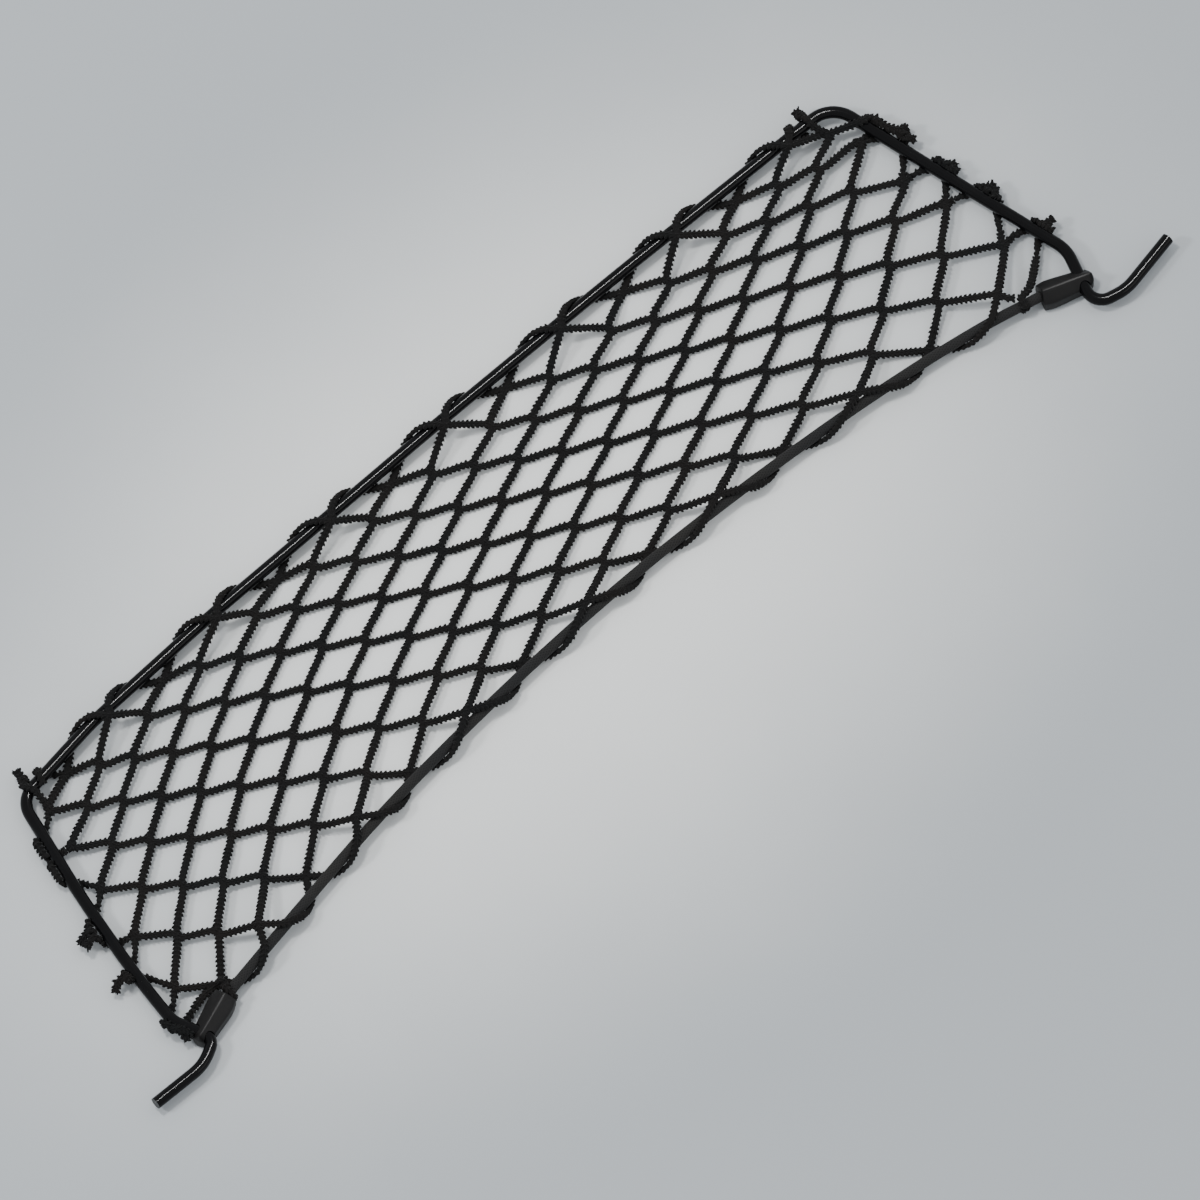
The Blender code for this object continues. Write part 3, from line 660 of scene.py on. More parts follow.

# %% [markdown]
# ## The elastic
#
# Rubber strands in a braided textile sleeve. The braid is two sets of fine yarns that wind round
# the cord in opposite ways and pass over and under each other. Modelling each yarn would cost more
# than it shows, so the sleeve is a swept tube and the braid is a height and a colour computed from
# the `girth` and `along` attributes: two crossed waves, one for each set of yarns. Where the waves
# dip between the yarns, the colour is darkened as painted shade.

# %% Braided sleeve and the elastic
braid, ins, outs = new_group(
    "braid",
    [("Yarns", FLOAT, 12.0), ("Lay", FLOAT, 900.0)],
    [("Height", FLOAT), ("Gaps", FLOAT)],
)
girth = node(braid, "ShaderNodeAttribute", {"attribute_name": "girth"})
along = node(braid, "ShaderNodeAttribute", {"attribute_name": "along"})
parts = node(braid, "ShaderNodeSeparateXYZ", Vector=girth.outputs["Vector"])
angle = maths(braid, "ARCTAN2", parts.outputs["Y"], parts.outputs["X"])
wound = maths(braid, "MULTIPLY", angle, ins.outputs["Yarns"])
moved = maths(braid, "MULTIPLY", along.outputs["Fac"], ins.outputs["Lay"])
first_set = maths(braid, "SINE", maths(braid, "ADD", wound, moved))
second_set = maths(braid, "SINE", maths(braid, "SUBTRACT", wound, moved))
height = maths(braid, "MAXIMUM", first_set, second_set)
fill(braid, outs.inputs["Height"], height)
# painted shade: the low places between the yarns are darkened
gap = node(braid, "ShaderNodeMapRange", Value=height, From_Min=0.1, From_Max=-0.7)
fill(braid, outs.inputs["Gaps"], gap.outputs["Result"])

sleeve, tree, shader = new_material("braided_sleeve", 0.86, Sheen_Weight=0.05, Sheen_Roughness=0.5,
                                    Specular_IOR_Level=0.2)
yarn = use_group(tree, fibres, First_dye=(0.0104, 0.0108, 0.0118, 1),
                 Second_dye=(0.0150, 0.0142, 0.0134, 1), Drift_scale=25.0, Fibre_scale=3500.0)
plait = use_group(tree, braid, Yarns=12.0, Lay=2600.0)
# the yarn colour, darkened to painted shade where the braid dips between its yarns
fill(tree, shader.inputs["Base Color"],
     blend_colour(tree, plait.outputs["Gaps"], yarn.outputs["Colour"], (0.004, 0.004, 0.004, 1)))
relief = maths(tree, "ADD", plait.outputs["Height"], maths(tree, "MULTIPLY", yarn.outputs["Height"], 0.6))
add_bump(tree, shader, relief, 0.00012, 0.8)

ELASTIC_SEAT = 9.5  # how deep each end sits in its clip
MOUTHS, EYES = (ELASTIC.path[0], ELASTIC.path[-1]), (RIGHT_EYE, LEFT_EYE)


def elastic_path(seat):
    """The elastic's plan path, carried on straight into both clips."""
    ends = [mouth + (eye - mouth).normalized() * seat for mouth, eye in zip(MOUTHS, EYES)]
    return [ends[0], *ELASTIC.path, ends[1]]


def level_chain(path, level):
    """A plan path as a chain of sections at one level."""
    return [Section(Vector((*p, level)), UP) for p in path]


elastic = grow("elastic", polyline("elastic", [level_chain(elastic_path(ELASTIC_SEAT), ELASTIC_LEVEL)]),
               bar_tree, Radius=ELASTIC_RADIUS * MM, Sides=24, Spacing=0.0012, Finish=sleeve)
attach(elastic, "root")
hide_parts("elastic_cord")

# %% [markdown]
# ## The clips
#
# Each clip is one moulding: a flat-sided body with a socket for the elastic, narrowing to a round
# eye that slides on the rod. Its outline is laid out on the plan and lofted upwards through a table
# of layers: straight sides first, then two slopes that close to a ridge, as a mould in two halves
# leaves it. Two round cutters then bore the eye and the socket. The matt dark plastic has a fine
# spark-eroded grain and a few paler, rubbed patches.

# %% Moulded plastic and the clips
moulded, tree, shader = new_material("moulded_plastic", 0.5, Specular_IOR_Level=0.18)
worn = use_group(tree, handling, Base=(0.0068, 0.0065, 0.0065, 1), Dust=(0.05, 0.05, 0.05, 1),
                 Amount=0.10, Scale=70.0, Roughness=0.44, Spread=0.2)
fill(tree, shader.inputs["Base Color"], worn.outputs["Colour"])
fill(tree, shader.inputs["Roughness"], worn.outputs["Roughness"])
place = node(tree, "ShaderNodeTexCoord").outputs["Object"]
grain = node(tree, "ShaderNodeTexNoise", Vector=place, Scale=2200.0, Detail=3.0, Roughness=0.6)
add_bump(tree, shader, grain.outputs["Fac"], 0.00005, 0.7)

CLIP_HEIGHT, CLIP_SLOPE = 12.4, 0.05
CLIP_MOUTH_HALF, CLIP_SHOULDER_HALF, CLIP_NECK_HALF, CLIP_EYE_RADIUS = 5.7, 6.5, 5.6, 5.2
SHOULDER_AT, NECK_AT = 0.25, 0.8  # shares of the way from the mouth to the eye
MOUTH_FLAT = 0.5  # one point on each side of the flat mouth, at this share of its half width
SIDE_STEPS, EYE_STEP = 6, 12  # the eye's step is in degrees
Layer = namedtuple("Layer", "height share pull")  # width kept, and how far the ends draw in
CLIP_LAYERS = (
    Layer(0.0, 0.80, 1.1),
    Layer(0.4, 0.90, 0.5),
    Layer(1.1, 0.97, 0.2),
    Layer(2.2, 0.995, 0.05),
    Layer(4.0, 1.0, 0.0),
    Layer(7.3, 1.0, 0.0),  # the slopes start here
    Layer(7.7, 0.985, 0.0),
    Layer(8.0, 0.965, 0.05),
    Layer(8.4, 0.925, 0.1),
    Layer(9.6, 0.68, 0.3),
    Layer(11.5, 0.30, 0.7),
    Layer(11.9, 0.21, 0.8),
    Layer(12.2, 0.14, 1.1),
    Layer(12.4, 0.06, 1.5),  # the ridge
)


def clip_outline(length):
    """The clip's outline on its own plan, from the mouth at x = 0 round the eye."""
    side = smooth_path([Vector((0, CLIP_MOUTH_HALF)), Vector((SHOULDER_AT * length, CLIP_SHOULDER_HALF)),
                        Vector((NECK_AT * length, CLIP_NECK_HALF))], SIDE_STEPS)
    rows = [Vector((0, MOUTH_FLAT * CLIP_MOUTH_HALF)), *side]
    eye = [math.radians(degrees) for degrees in range(0, 181, EYE_STEP)]
    rows += [Vector((length + CLIP_EYE_RADIUS * math.sin(a), CLIP_EYE_RADIUS * math.cos(a))) for a in eye]
    rows += [Vector((x, -y)) for x, y in reversed(side)]
    return rows + [Vector((0, -MOUTH_FLAT * CLIP_MOUTH_HALF))]


def bar_cutter(path, level, radius):
    """A closed tube along a plan path, to bore a hole with."""
    data = polyline("cutter", [level_chain(path, level)])
    return grow("cutter", data, bar_tree, Radius=radius * MM, Sides=28, Spacing=0.0015, Finish=moulded)


def make_clip(name, mouth, eye, cutters):
    """The outline lofted through the layers, set on the plan, then bored."""
    length = (eye - mouth).length
    outline = clip_outline(length)
    bm = bmesh.new()
    rings = []
    middle = (length + CLIP_EYE_RADIUS) / 2
    for layer in CLIP_LAYERS:
        shrink, fall = 1 - layer.pull / middle, CLIP_SLOPE * layer.height / CLIP_HEIGHT
        ring = [(middle + (x - middle) * shrink, y * layer.share, layer.height - fall * x)
                for x, y in outline]
        rings.append([bm.verts.new(corner) for corner in ring])
    for low, high in zip(rings, rings[1:]):
        for i in range(len(low)):
            j = (i + 1) % len(low)
            bm.faces.new((low[i], high[i], high[j], low[j]))
    bm.faces.new(rings[0])
    bm.faces.new(rings[-1][::-1])
    way = eye - mouth
    turn = Matrix.Rotation(math.atan2(way.y, way.x), 4, "Z")
    spot = Matrix.Translation((*(mouth - PLAN_CENTRE), 0)) @ turn
    bm.transform(Matrix.Scale(MM, 4) @ spot)
    bmesh.ops.recalc_face_normals(bm, faces=bm.faces)
    data = bpy.data.meshes.new(name)
    bm.to_mesh(data)
    bm.free()
    clip = add_to_scene(name, data)
    for cutter in cutters:
        cut = clip.modifiers.new("bore", "BOOLEAN")
        cut.operation, cut.solver, cut.object = "DIFFERENCE", "EXACT", cutter
    bpy.context.view_layer.update()
    bored = bpy.data.meshes.new_from_object(clip.evaluated_get(bpy.context.evaluated_depsgraph_get()))
    clip.modifiers.clear()
    clip.data = bored
    bored.materials.clear()
    bored.materials.append(moulded)
    shade_smooth(clip, MOULDED_CREASE)
    print(name, "triangles:", sum(len(p.vertices) - 2 for p in bored.polygons))
    return clip


SEAT_ROOM = 0.4  # each socket is this much deeper than the elastic's end
CLIP_PIECES = (("right_clip", "clip_right"), ("left_clip", "clip_left"))  # in the elastic's order
cutters = (
    bar_cutter(ROD.path, ROD_LEVEL, ROD_RADIUS + CLEARANCE),
    bar_cutter(elastic_path(ELASTIC_SEAT + SEAT_ROOM), ELASTIC_LEVEL, ELASTIC_RADIUS + CLEARANCE),
)
for (name, solid_name), mouth, eye in zip(CLIP_PIECES, MOUTHS, EYES):
    clip = make_clip(name, mouth, eye, cutters)
    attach(clip, "root")
    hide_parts(solid_name)
for cutter in cutters:
    bpy.data.objects.remove(cutter)


# %% [markdown]
# ## Where the cords run
#
# The net's cords cross at knots, in rows from the rod to the elastic and columns along it. A knot
# sits where row and column add up to an odd number, so each cord runs diagonally from knot to
# knot. At the two long edges the cord goes over the rail at every other edge knot, down its outer
# side, and back under at the next. At the legs it loops round, and where the net was cut off the
# roll it ends in tied tails. Each run is a chain of sections: a centre, an outer side and a size.


# %% Knots
EDGE_WEAVE = 0.6  # how far the knots next to an edge rise or sink towards their edge knot
ELASTIC_EASE = 0.7  # the elastic's edge knots may stand this much closer than the rod's


def knot_place(row, column):
    """A knot's centre, from the column table, with its sag and, on the long edges, its place at the rail."""
    values = [np.interp(column, [c.column for c in COLUMNS], [c[i] for c in COLUMNS]) for i in range(1, 6)]
    rod_x, elastic_x, rod_y, elastic_y, fan = values
    part = (row - FIRST_ROW) / (LAST_ROW - FIRST_ROW)  # 0 at the rod, 1 at the elastic
    place = Vector(((1 - part) * rod_x + part * elastic_x,
                    (1 - part) * rod_y + part * elastic_y + fan * part * (part - 1)))
    for pull in PULLED_KNOTS:
        if (pull.row, pull.column) == (row, column):
            place += Vector((pull.dx, pull.dy))
    slack = 1 - ((column - MIDDLE_COLUMN) / COLUMN_REACH) ** 4
    sag = LEG_SAG + (NET_SAG - LEG_SAG) * slack
    level = NET_LEVEL - 4 * sag * part * (1 - part)
    place += SAG_SLIP * (4 * sag * part * (1 - part))
    over = (column - 2) % 4 == 0  # every other edge knot lies over the rail
    if row in (FIRST_ROW, LAST_ROW):
        kind, rail = ("rod", ROD) if row == FIRST_ROW else ("elastic", ELASTIC)
        point, outward = rail.at(rail.near(place))
        inset = EDGE_INSET["over" if over else "under"]
        if row == LAST_ROW:
            inset = max(inset - ELASTIC_EASE, outward.dot(point - place))
        place = point - outward * inset
        level = OVER_KNOT_LEVEL[kind] if over else UNDER_KNOT_LEVEL
    elif row in (FIRST_ROW + 2, LAST_ROW - 2) and column % 2 == 0:
        level += EDGE_WEAVE if over else -EDGE_WEAVE
    return Vector((*place, level))


knots = {(r, c): knot_place(r, c) for r in range(FIRST_ROW, LAST_ROW + 1)
         for c in range(FIRST_COLUMN, LAST_COLUMN + 1) if (r + c) % 2}
print("knots:", len(knots))

# %% [markdown]
# ## Cords through the mesh
#
# Following one diagonal through all its knots gives one continuous cord. At a knot the two cords
# are knitted together for about four millimetres, so they turn towards the rows, run side by side
# and part again. That short joint gives each opening its two blunt corners, and it is why the cords
# look slightly stepped. Each crossing is entered and left at its own point, with a smooth curve
# through all of them.

# %% Diagonal cords
JOINT_HALF, JOINT_LEAN = 2.0, 0.8  # half the joint's length, and how far it leans
CROSS_LIFT = 0.3  # the cords of one side lie this much higher, those of the other lower


def row_way(row, column):
    """The plan direction from one row to the next, at a knot."""
    return (knot_place(row + 0.5, column) - knot_place(row - 0.5, column)).to_2d().normalized()


def diagonal_cords():
    """One chain for each diagonal: side 1 runs towards higher columns, side -1 towards lower."""
    chains = []
    for side in (1, -1):
        for start in sorted(k for k in knots if (k[0] - 1, k[1] - side) not in knots):
            run = [start]
            while (run[-1][0] + 1, run[-1][1] + side) in knots:
                run.append((run[-1][0] + 1, run[-1][1] + side))
            stops = []
            for row, column in run:
                place = knots[row, column]
                if FIRST_ROW < row < LAST_ROW:
                    way = row_way(row, column)
                    step = way * JOINT_HALF + turned(way, math.pi / 2) * (JOINT_LEAN * side)
                    step, lift = Vector((*step, 0)), UP * (CROSS_LIFT * side)
                    stops += [place - step, place + lift, place + step]
                else:
                    stops.append(place)
            if len(run) > 1:
                chains.append([Section(p, UP) for p in even_path(stops)[0]])
    return chains


mesh_chains = diagonal_cords()
print("diagonal cords:", len(mesh_chains))

# %% [markdown]
# ## Lacing round the rod and the elastic
#
# Between two edge knots the cord makes half a turn round the rail. A clock angle tells where it is
# on the rail, and the tables give how far it has gone along by then: on the rod it turns early,
# close to the upper knot, and on the elastic in the middle. Places every 30 degrees, joined by a
# smooth curve, keep it round.

# %% Lacing
Turn = namedtuple("Turn", "clock along")
ROD_LACING = (Turn(90, 0.11), Turn(45, 0.24), Turn(0, 0.38), Turn(-45, 0.53), Turn(-90, 0.67))
ELASTIC_LACING = (Turn(90, 0.22), Turn(45, 0.36), Turn(0, 0.5), Turn(-45, 0.64), Turn(-90, 0.78))
LACING_STEP, WRAP_STEP = 30, 15


def winding(rail, turns, start=0.0, span=1.0, step=WRAP_STEP):
    """Sections round a rail through the turns, with places between them every few degrees."""
    made = []
    for a, b in zip(turns, turns[1:]):
        count = max(1, round(abs(b.clock - a.clock) / step))
        for i in range(count):
            t = i / count
            along = a.along + (b.along - a.along) * t
            made.append(rail.round(start + span * along, a.clock + (b.clock - a.clock) * t))
    return made + [rail.round(start + span * turns[-1].along, turns[-1].clock)]


def smooth_chain(chain):
    """The same chain with places between its sections, so that it bends softly."""
    centres, places = even_path([s.centre for s in chain])
    made = []
    for centre, place in zip(centres, places):
        first = min(int(place), len(chain) - 2)
        part = place - first
        up = chain[first].up.lerp(chain[first + 1].up, part).normalized()
        size = chain[first].size + (chain[first + 1].size - chain[first].size) * part
        made.append(Section(centre, up, size))
    return made


lacing_chains = []
for row, rail, turns in ((FIRST_ROW, ROD, ROD_LACING), (LAST_ROW, ELASTIC, ELASTIC_LACING)):
    columns = sorted(c for r, c in knots if r == row)
    for a, b in zip(columns, columns[1:]):
        over, under = ((row, a), (row, b)) if (a - 2) % 4 == 0 else ((row, b), (row, a))
        begin, end = rail.near(knots[over].to_2d()), rail.near(knots[under].to_2d())
        middle = winding(rail, turns, begin, end - begin, LACING_STEP)
        lacing_chains.append(smooth_chain([Section(knots[over], UP), *middle, Section(knots[under], -UP)]))

# %% [markdown]
# ## Loops, ties and tails at the legs
#
# Along the two legs the mesh was cut to length, so its ends are worked by hand. Two neighbouring
# cords pass under the rod and meet on its outer side. Some pairs simply run into each other as a
# loop. The others are bound together, and their cut ends stand out a few millimetres as short
# frayed tails. The table says which knots the two cords leave, how far down the leg each one
# crosses, and the plan points that each cut end runs through.

# %% Leg loops and tails: the tables
Tie = namedtuple("Tie", "leg first_knot first_at second_knot second_at tails")
LEG_TIES = (
    Tie("left", (-6, -9), 17.5, (-4, -9), 30, ()),
    Tie("left", (-4, -9), 31.5, (-2, -9), 44.5, ()),
    Tie("left", (-2, -9), 67, (0, -9), 82,
        (((-292.4, -68.4), (-299.4, -70.4)), ((-293.4, -73.0), (-299.4, -74.4)))),
    Tie("left", (0, -9), 100.5, (2, -9), 104,
        (((-296.6, -99.0), (-301.2, -97.6), (-305.0, -100.6)), ((-296.8, -102.2),))),
    Tie("left", (2, -9), 132, (3, -8), 137,
        (((-297.6, -136.0), (-297.8, -142.6)), ((-296.0, -138.8), (-294.6, -142.8)))),
    Tie("right", (-6, 19), 16.5, (-4, 19), 21,
        (((277.4, -14.6), (281.0, -17.6)), ((280.4, -24.0), (284.0, -29.8), (287.6, -31.0)))),
    Tie("right", (-4, 19), 26, (-2, 19), 40,
        (((283.0, -31.5), (285.8, -34.2)), ((283.6, -35.2), (285.4, -38.4)))),
    Tie("right", (-2, 19), 55, (0, 19), 65,
        (((286.8, -57.8), (291.0, -61.0)), ((287.8, -61.6), (288.4, -65.2)))),
    Tie("right", (0, 19), 79, (2, 19), 95,
        (((291.0, -80.4), (296.6, -82.2)), ((292.4, -87.2), (295.4, -84.6)))),
)
TIES_OVER = {(-6, 19)}  # the knot whose cord crosses over the rod instead
DETOURS = {(3, -8): (-276.0, -130.6, 3.2)}  # a place that this knot's cord goes through first

# At both corners a cord winds round the rod, and another crosses over it and ends in a tail.
LEFT_WRAP = (Turn(-90, 22.0), Turn(-45, 20.2), Turn(0, 18.2), Turn(45, 17.0), Turn(90, 15.9), Turn(135, 14.3))
RIGHT_WRAP = (Turn(90, 25.5), Turn(45, 24), Turn(0, 22.5), Turn(-45, 21), Turn(-90, 19.5), Turn(-135, 18.3))
LEFT_TAIL, RIGHT_TAIL = ((-260.6, 10.2), (-259.2, 16.0)), ((254.8, 8.6), (254.9, 11.6))
LEFT_TAIL_AT, RIGHT_TAIL_AT = 8, -14  # where each crosses, from its corner along the rod

# The lowest pair on the right leg, whose second cord is cut off again just past the elastic.
UPPER_AT, UPPER_DROP, LOWER_AT, LOWER_STEP = 113, 1, 121, -1.5
UPPER_TAIL, LOWER_TAIL = ((298.6, -115.0), (303.6, -115.4)), ((299.2, -119.6),)
LOWER_SPAN = ((280.0, -127.6, 4.0), (270.5, -134.2, 7.6))
LOWER_STUB = (261.4, -140.6, 5.0)
INNER_STUB = ((257.2, -131.4, 10.3), (259.8, -133.8, 9.6))  # a short end at the elastic's last knot

# At the left clip's mouth a cord goes once round the elastic, like a collar.
COLLAR_START, COLLAR_BACK = (-265.4, -132.6, 8.4), 2.0
COLLAR_TURNS = (Turn(150, -1.5), Turn(90, 0.0), Turn(0, 0.0), Turn(-60, -0.5))
COLLAR_KNOT_WAY, COLLAR_KNOT_RADIUS = (0.8, 0.6, 0.0), 1.5
print("pairs of cords at the legs:", len(LEG_TIES))

# %% [markdown]
# ### How a cord is led at a leg
#
# Five short steps make all of these cords: a distance down a leg, the way from a knot to the rod,
# the slack piece beside the rod, one turn of binding about two ends, and a tail that ends in a cut.

# %% Leg loops and tails: the steps
LONGEST_LEAD, LEAD_SHARE = 3.5, 0.7  # how far a cord may slant before it meets the rod
LOOP_LIFT, LOOP_SIZE, LOOP_CLOCK, LOOP_TILT = 0.5, 1.08, 12, 1.6  # slack cord beside the rod
BINDING_RADIUS, BINDING_RISE, BINDING_SIZE = 1.7, 1.6, 0.85  # one turn, drawn tight
TAIL_SIZE, TAIL_DROP = 1.15, 0.7  # cut ends swell, and sink a little from place to place

leg_chains, cut_ends = [], []


def leg_position(leg, distance):
    """How far along the rod a place is that lies this far down a leg."""
    corner = LEFT_CORNER if leg == "left" else RIGHT_CORNER
    return ROD.near(corner) + (-distance if leg == "left" else distance)


def approach(knot, along, side):
    """From a knot to the rod's top (side 1) or its underside (side -1)."""
    lead = min(max(ROD.near(knot.to_2d()) - along, -LONGEST_LEAD), LONGEST_LEAD)
    nearly = ROD.round(along + LEAD_SHARE * lead, 135 * side)
    return [Section(knot, UP), nearly, ROD.round(along, 90 * side)]


def outside(along):
    """Beside the rod on its outer side, where the cord lies nearly flat."""
    beside = ROD.round(along, LOOP_CLOCK, LOOP_LIFT)
    return Section(beside.centre, (beside.up + LOOP_TILT * UP).normalized(), LOOP_SIZE)


def binding(centre, axis, radius=BINDING_RADIUS, steps=12):
    """One turn of cord about an axis, which binds two ends together."""
    side = axis.cross(UP).normalized()
    over = side.cross(axis).normalized()
    turn = []
    for i in range(steps + 1):
        t = i / steps
        radial = side * math.cos(math.tau * t) + over * math.sin(math.tau * t)
        place = centre + radial * radius + axis * (BINDING_RISE * (t - 0.5))
        turn.append(Section(place, radial, BINDING_SIZE))
    return turn


def end_tail(start, tail, level):
    """Runs a cord on through its tail points, notes the cut end, and keeps the chain."""
    stops = [Vector((*p, level - TAIL_DROP * n)) for n, p in enumerate(tail)]
    chain = smooth_chain(start + [Section(p, UP, TAIL_SIZE) for p in stops])
    leg_chains.append(chain)
    cut_ends.append((chain[-1].centre, (chain[-1].centre - chain[-3].centre).normalized()))
    return stops


# %% [markdown]
# ### All the loops and ties
#
# Both cords of a pair are led to the rod's outer side and gathered towards the middle between
# them. Without tails they are one loop. With tails each runs on to its cut end, the second a
# little higher than the first, and a binding holds both. The corners, the lowest pair on the right
# and the collar at the left clip don't fit the table, so each is led one by one.

# %% Leg loops and tails: all of them
GATHER_UNDER, GATHER_BESIDE = 0.12, 0.35  # how much of the way to the middle is gone by then
SECOND_TAIL_RAISED = 1.6  # it leaves the binding on top of the first

for tie in LEG_TIES:
    ends = []
    middle = 0.5 * (leg_position(tie.leg, tie.first_at) + leg_position(tie.leg, tie.second_at))
    for key, distance in ((tie.first_knot, tie.first_at), (tie.second_knot, tie.second_at)):
        along = leg_position(tie.leg, distance)
        side = 1 if key in TIES_OVER and key == tie.first_knot else -1
        chain = approach(knots[key], along, side)
        if key in DETOURS:
            chain.insert(1, Section(Vector(DETOURS[key]), UP))
        gather = middle - along
        chain.append(ROD.round(along + GATHER_UNDER * gather, 45 * side))
        chain.append(outside(along + GATHER_BESIDE * gather))
        ends.append(chain)
    if tie.tails:
        roots = [end_tail(chain, tail, ROD_LEVEL + SECOND_TAIL_RAISED * n)[0]
                 for n, (chain, tail) in enumerate(zip(ends, tie.tails))]
        knot = 0.5 * (roots[0] + roots[1])
        leg_chains.append(binding(knot, (roots[1] - roots[0]).normalized()))
    else:
        loop = ends[0] + [outside(middle)] + ends[1][::-1]
        leg_chains.append(smooth_chain(loop))

left, right = ROD.near(LEFT_CORNER), ROD.near(RIGHT_CORNER)
for column, corner, turns, way in ((-8, left, LEFT_WRAP, 1), (18, right, RIGHT_WRAP, -1)):
    wrap = winding(ROD, [Turn(t.clock, corner + way * t.along) for t in turns])
    leg_chains.append(smooth_chain([Section(knots[FIRST_ROW, column], UP), *wrap]))
for column, crossing, tail in ((-9, left + LEFT_TAIL_AT, LEFT_TAIL), (19, right + RIGHT_TAIL_AT, RIGHT_TAIL)):
    over_rod = [ROD.round(crossing, clock) for clock in (135, 90, 35)]
    stops = end_tail([Section(knots[-6, column], UP), *over_rod], tail, ROD_LEVEL + 1.0)
    leg_chains.append(binding(stops[0], (stops[-1] - stops[0]).normalized()))

under_rod = approach(knots[2, 19], leg_position("right", UPPER_AT), -1)
round_rod = [ROD.round(leg_position("right", UPPER_AT + UPPER_DROP), clock) for clock in (-45, 10)]
end_tail(under_rod + round_rod, UPPER_TAIL, ROD_LEVEL + 1.2)

seat = ELASTIC.near(Vector(LOWER_STUB[:2]))
over_elastic = winding(ELASTIC, [Turn(45, seat), Turn(90, seat), Turn(135, seat)])
inward = [Section(Vector(p), UP) for p in reversed(LOWER_SPAN)]
down = leg_position("right", LOWER_AT)
round_rod = [ROD.round(down + LOWER_STEP * n, clock) for n, clock in enumerate((-135, -90, -45, 10))]
end_tail([Section(Vector(LOWER_STUB), UP), *over_elastic, *inward, *round_rod], LOWER_TAIL, ROD_LEVEL + 0.8)
inner = [Section(Vector(p), UP) for p in INNER_STUB]
leg_chains.append(smooth_chain([Section(knots[LAST_ROW, 18], UP), *inner]))

mouth = ELASTIC.lengths[-1] - COLLAR_BACK
collar = winding(ELASTIC, [Turn(t.clock, mouth + t.along) for t in COLLAR_TURNS])
leg_chains.append(smooth_chain([Section(Vector(COLLAR_START), UP), *collar]))
leg_chains.append(binding(Vector(COLLAR_START), Vector(COLLAR_KNOT_WAY), COLLAR_KNOT_RADIUS))
cut_ends.append((Vector(LOWER_STUB), (Vector(LOWER_STUB) - over_elastic[0].centre).normalized()))
print("leg chains:", len(leg_chains), "cut ends:", len(cut_ends))

# %% [markdown]
# ## Knitted cord
#
# The cord is warp-knitted: a chain of loops down the middle, laced by side yarns whose turns stand
# out as small teeth along both edges. One stitch is modelled as three pads: two slanted ones, left
# and right, that meet in a V, and a smaller one for the chain. Geometry Nodes sets one stitch on
# each step along every chain, turned so that it follows the path and faces the outer side, over a
# flat core that closes the middle. Pitch, width, thickness, slant and seed are named inputs.

# %% Geometry trees: stitches and core
knit_tree, ins, outs = new_group(
    "knitted cord",
    [("Geometry", GEOMETRY, None), ("Pitch", FLOAT, 0.0023), ("Width", FLOAT, 0.0047),
     ("Thickness", FLOAT, 0.0027), ("Slant", FLOAT, 0.9), ("Unevenness", FLOAT, 0.12), ("Seed", INT, 3),
     ("Finish", MATERIAL, None)],
    [("Geometry", GEOMETRY)],
    "GeometryNodeTree",
)


def vector(tree, x, y, z):
    """Three numbers or sockets as one vector."""
    return node(tree, "ShaderNodeCombineXYZ", X=x, Y=y, Z=z).outputs["Vector"]


def times(tree, a, b):
    """The product of two numbers or sockets."""
    return maths(tree, "MULTIPLY", a, b)


width, thick = ins.outputs["Width"], ins.outputs["Thickness"]
pad = node(knit_tree, "GeometryNodeMeshUVSphere", Segments=6, Rings=4, Radius=1.0)
LOOP_OFFSET = 0.215  # from the cord's middle to each side loop, as a share of its width
Pad = namedtuple("Pad", "side lift length breadth height")  # shares of the width and the thickness
STITCH = (
    Pad(1, 0.0, 0.36, 0.17, 0.47),  # the slanted side loops, whose tips are the teeth
    Pad(-1, 0.0, 0.36, 0.17, 0.47),
    Pad(0, 0.10, 0.30, 0.13, 0.50),  # the chain loop down the middle
)
stitch = node(knit_tree, "GeometryNodeJoinGeometry")
for shape in STITCH:
    made = node(knit_tree, "GeometryNodeTransform", Geometry=pad.outputs["Mesh"])
    beside = times(knit_tree, width, LOOP_OFFSET * shape.side)
    raised = times(knit_tree, thick, shape.lift)
    fill(knit_tree, made.inputs["Translation"], vector(knit_tree, 0.0, beside, raised))
    turn = times(knit_tree, ins.outputs["Slant"], shape.side)
    fill(knit_tree, made.inputs["Rotation"], vector(knit_tree, 0.0, 0.0, turn))
    size = vector(knit_tree, times(knit_tree, width, shape.length), times(knit_tree, width, shape.breadth),
                  times(knit_tree, thick, shape.height))
    fill(knit_tree, made.inputs["Scale"], size)
    knit_tree.links.new(made.outputs["Geometry"], stitch.inputs["Geometry"])

path = path_with_normals(knit_tree, ins.outputs["Geometry"], ins.outputs["Pitch"])
facing = node(knit_tree, "FunctionNodeAxesToRotation", {"primary_axis": "X", "secondary_axis": "Z"})
fill(knit_tree, facing.inputs["Primary Axis"], node(knit_tree, "GeometryNodeInputTangent").outputs["Tangent"])
fill(knit_tree, facing.inputs["Secondary Axis"], named(knit_tree, "up", "FLOAT_VECTOR"))
low = maths(knit_tree, "SUBTRACT", 1.0, ins.outputs["Unevenness"])
high = maths(knit_tree, "ADD", 1.0, ins.outputs["Unevenness"])
uneven = node(knit_tree, "FunctionNodeRandomValue", {"data_type": "FLOAT"}, Seed=ins.outputs["Seed"])
fill(knit_tree, uneven.inputs[2], low)
fill(knit_tree, uneven.inputs[3], high)
scale = times(knit_tree, uneven.outputs[1], named(knit_tree, "size", "FLOAT"))
stitches = node(knit_tree, "GeometryNodeInstanceOnPoints", Points=path, Instance=stitch.outputs["Geometry"],
                Rotation=facing.outputs["Rotation"])
fill(knit_tree, stitches.inputs["Scale"], vector(knit_tree, 1.0, scale, scale))
put_out(knit_tree, outs, stitches.outputs["Instances"], ins.outputs["Finish"])

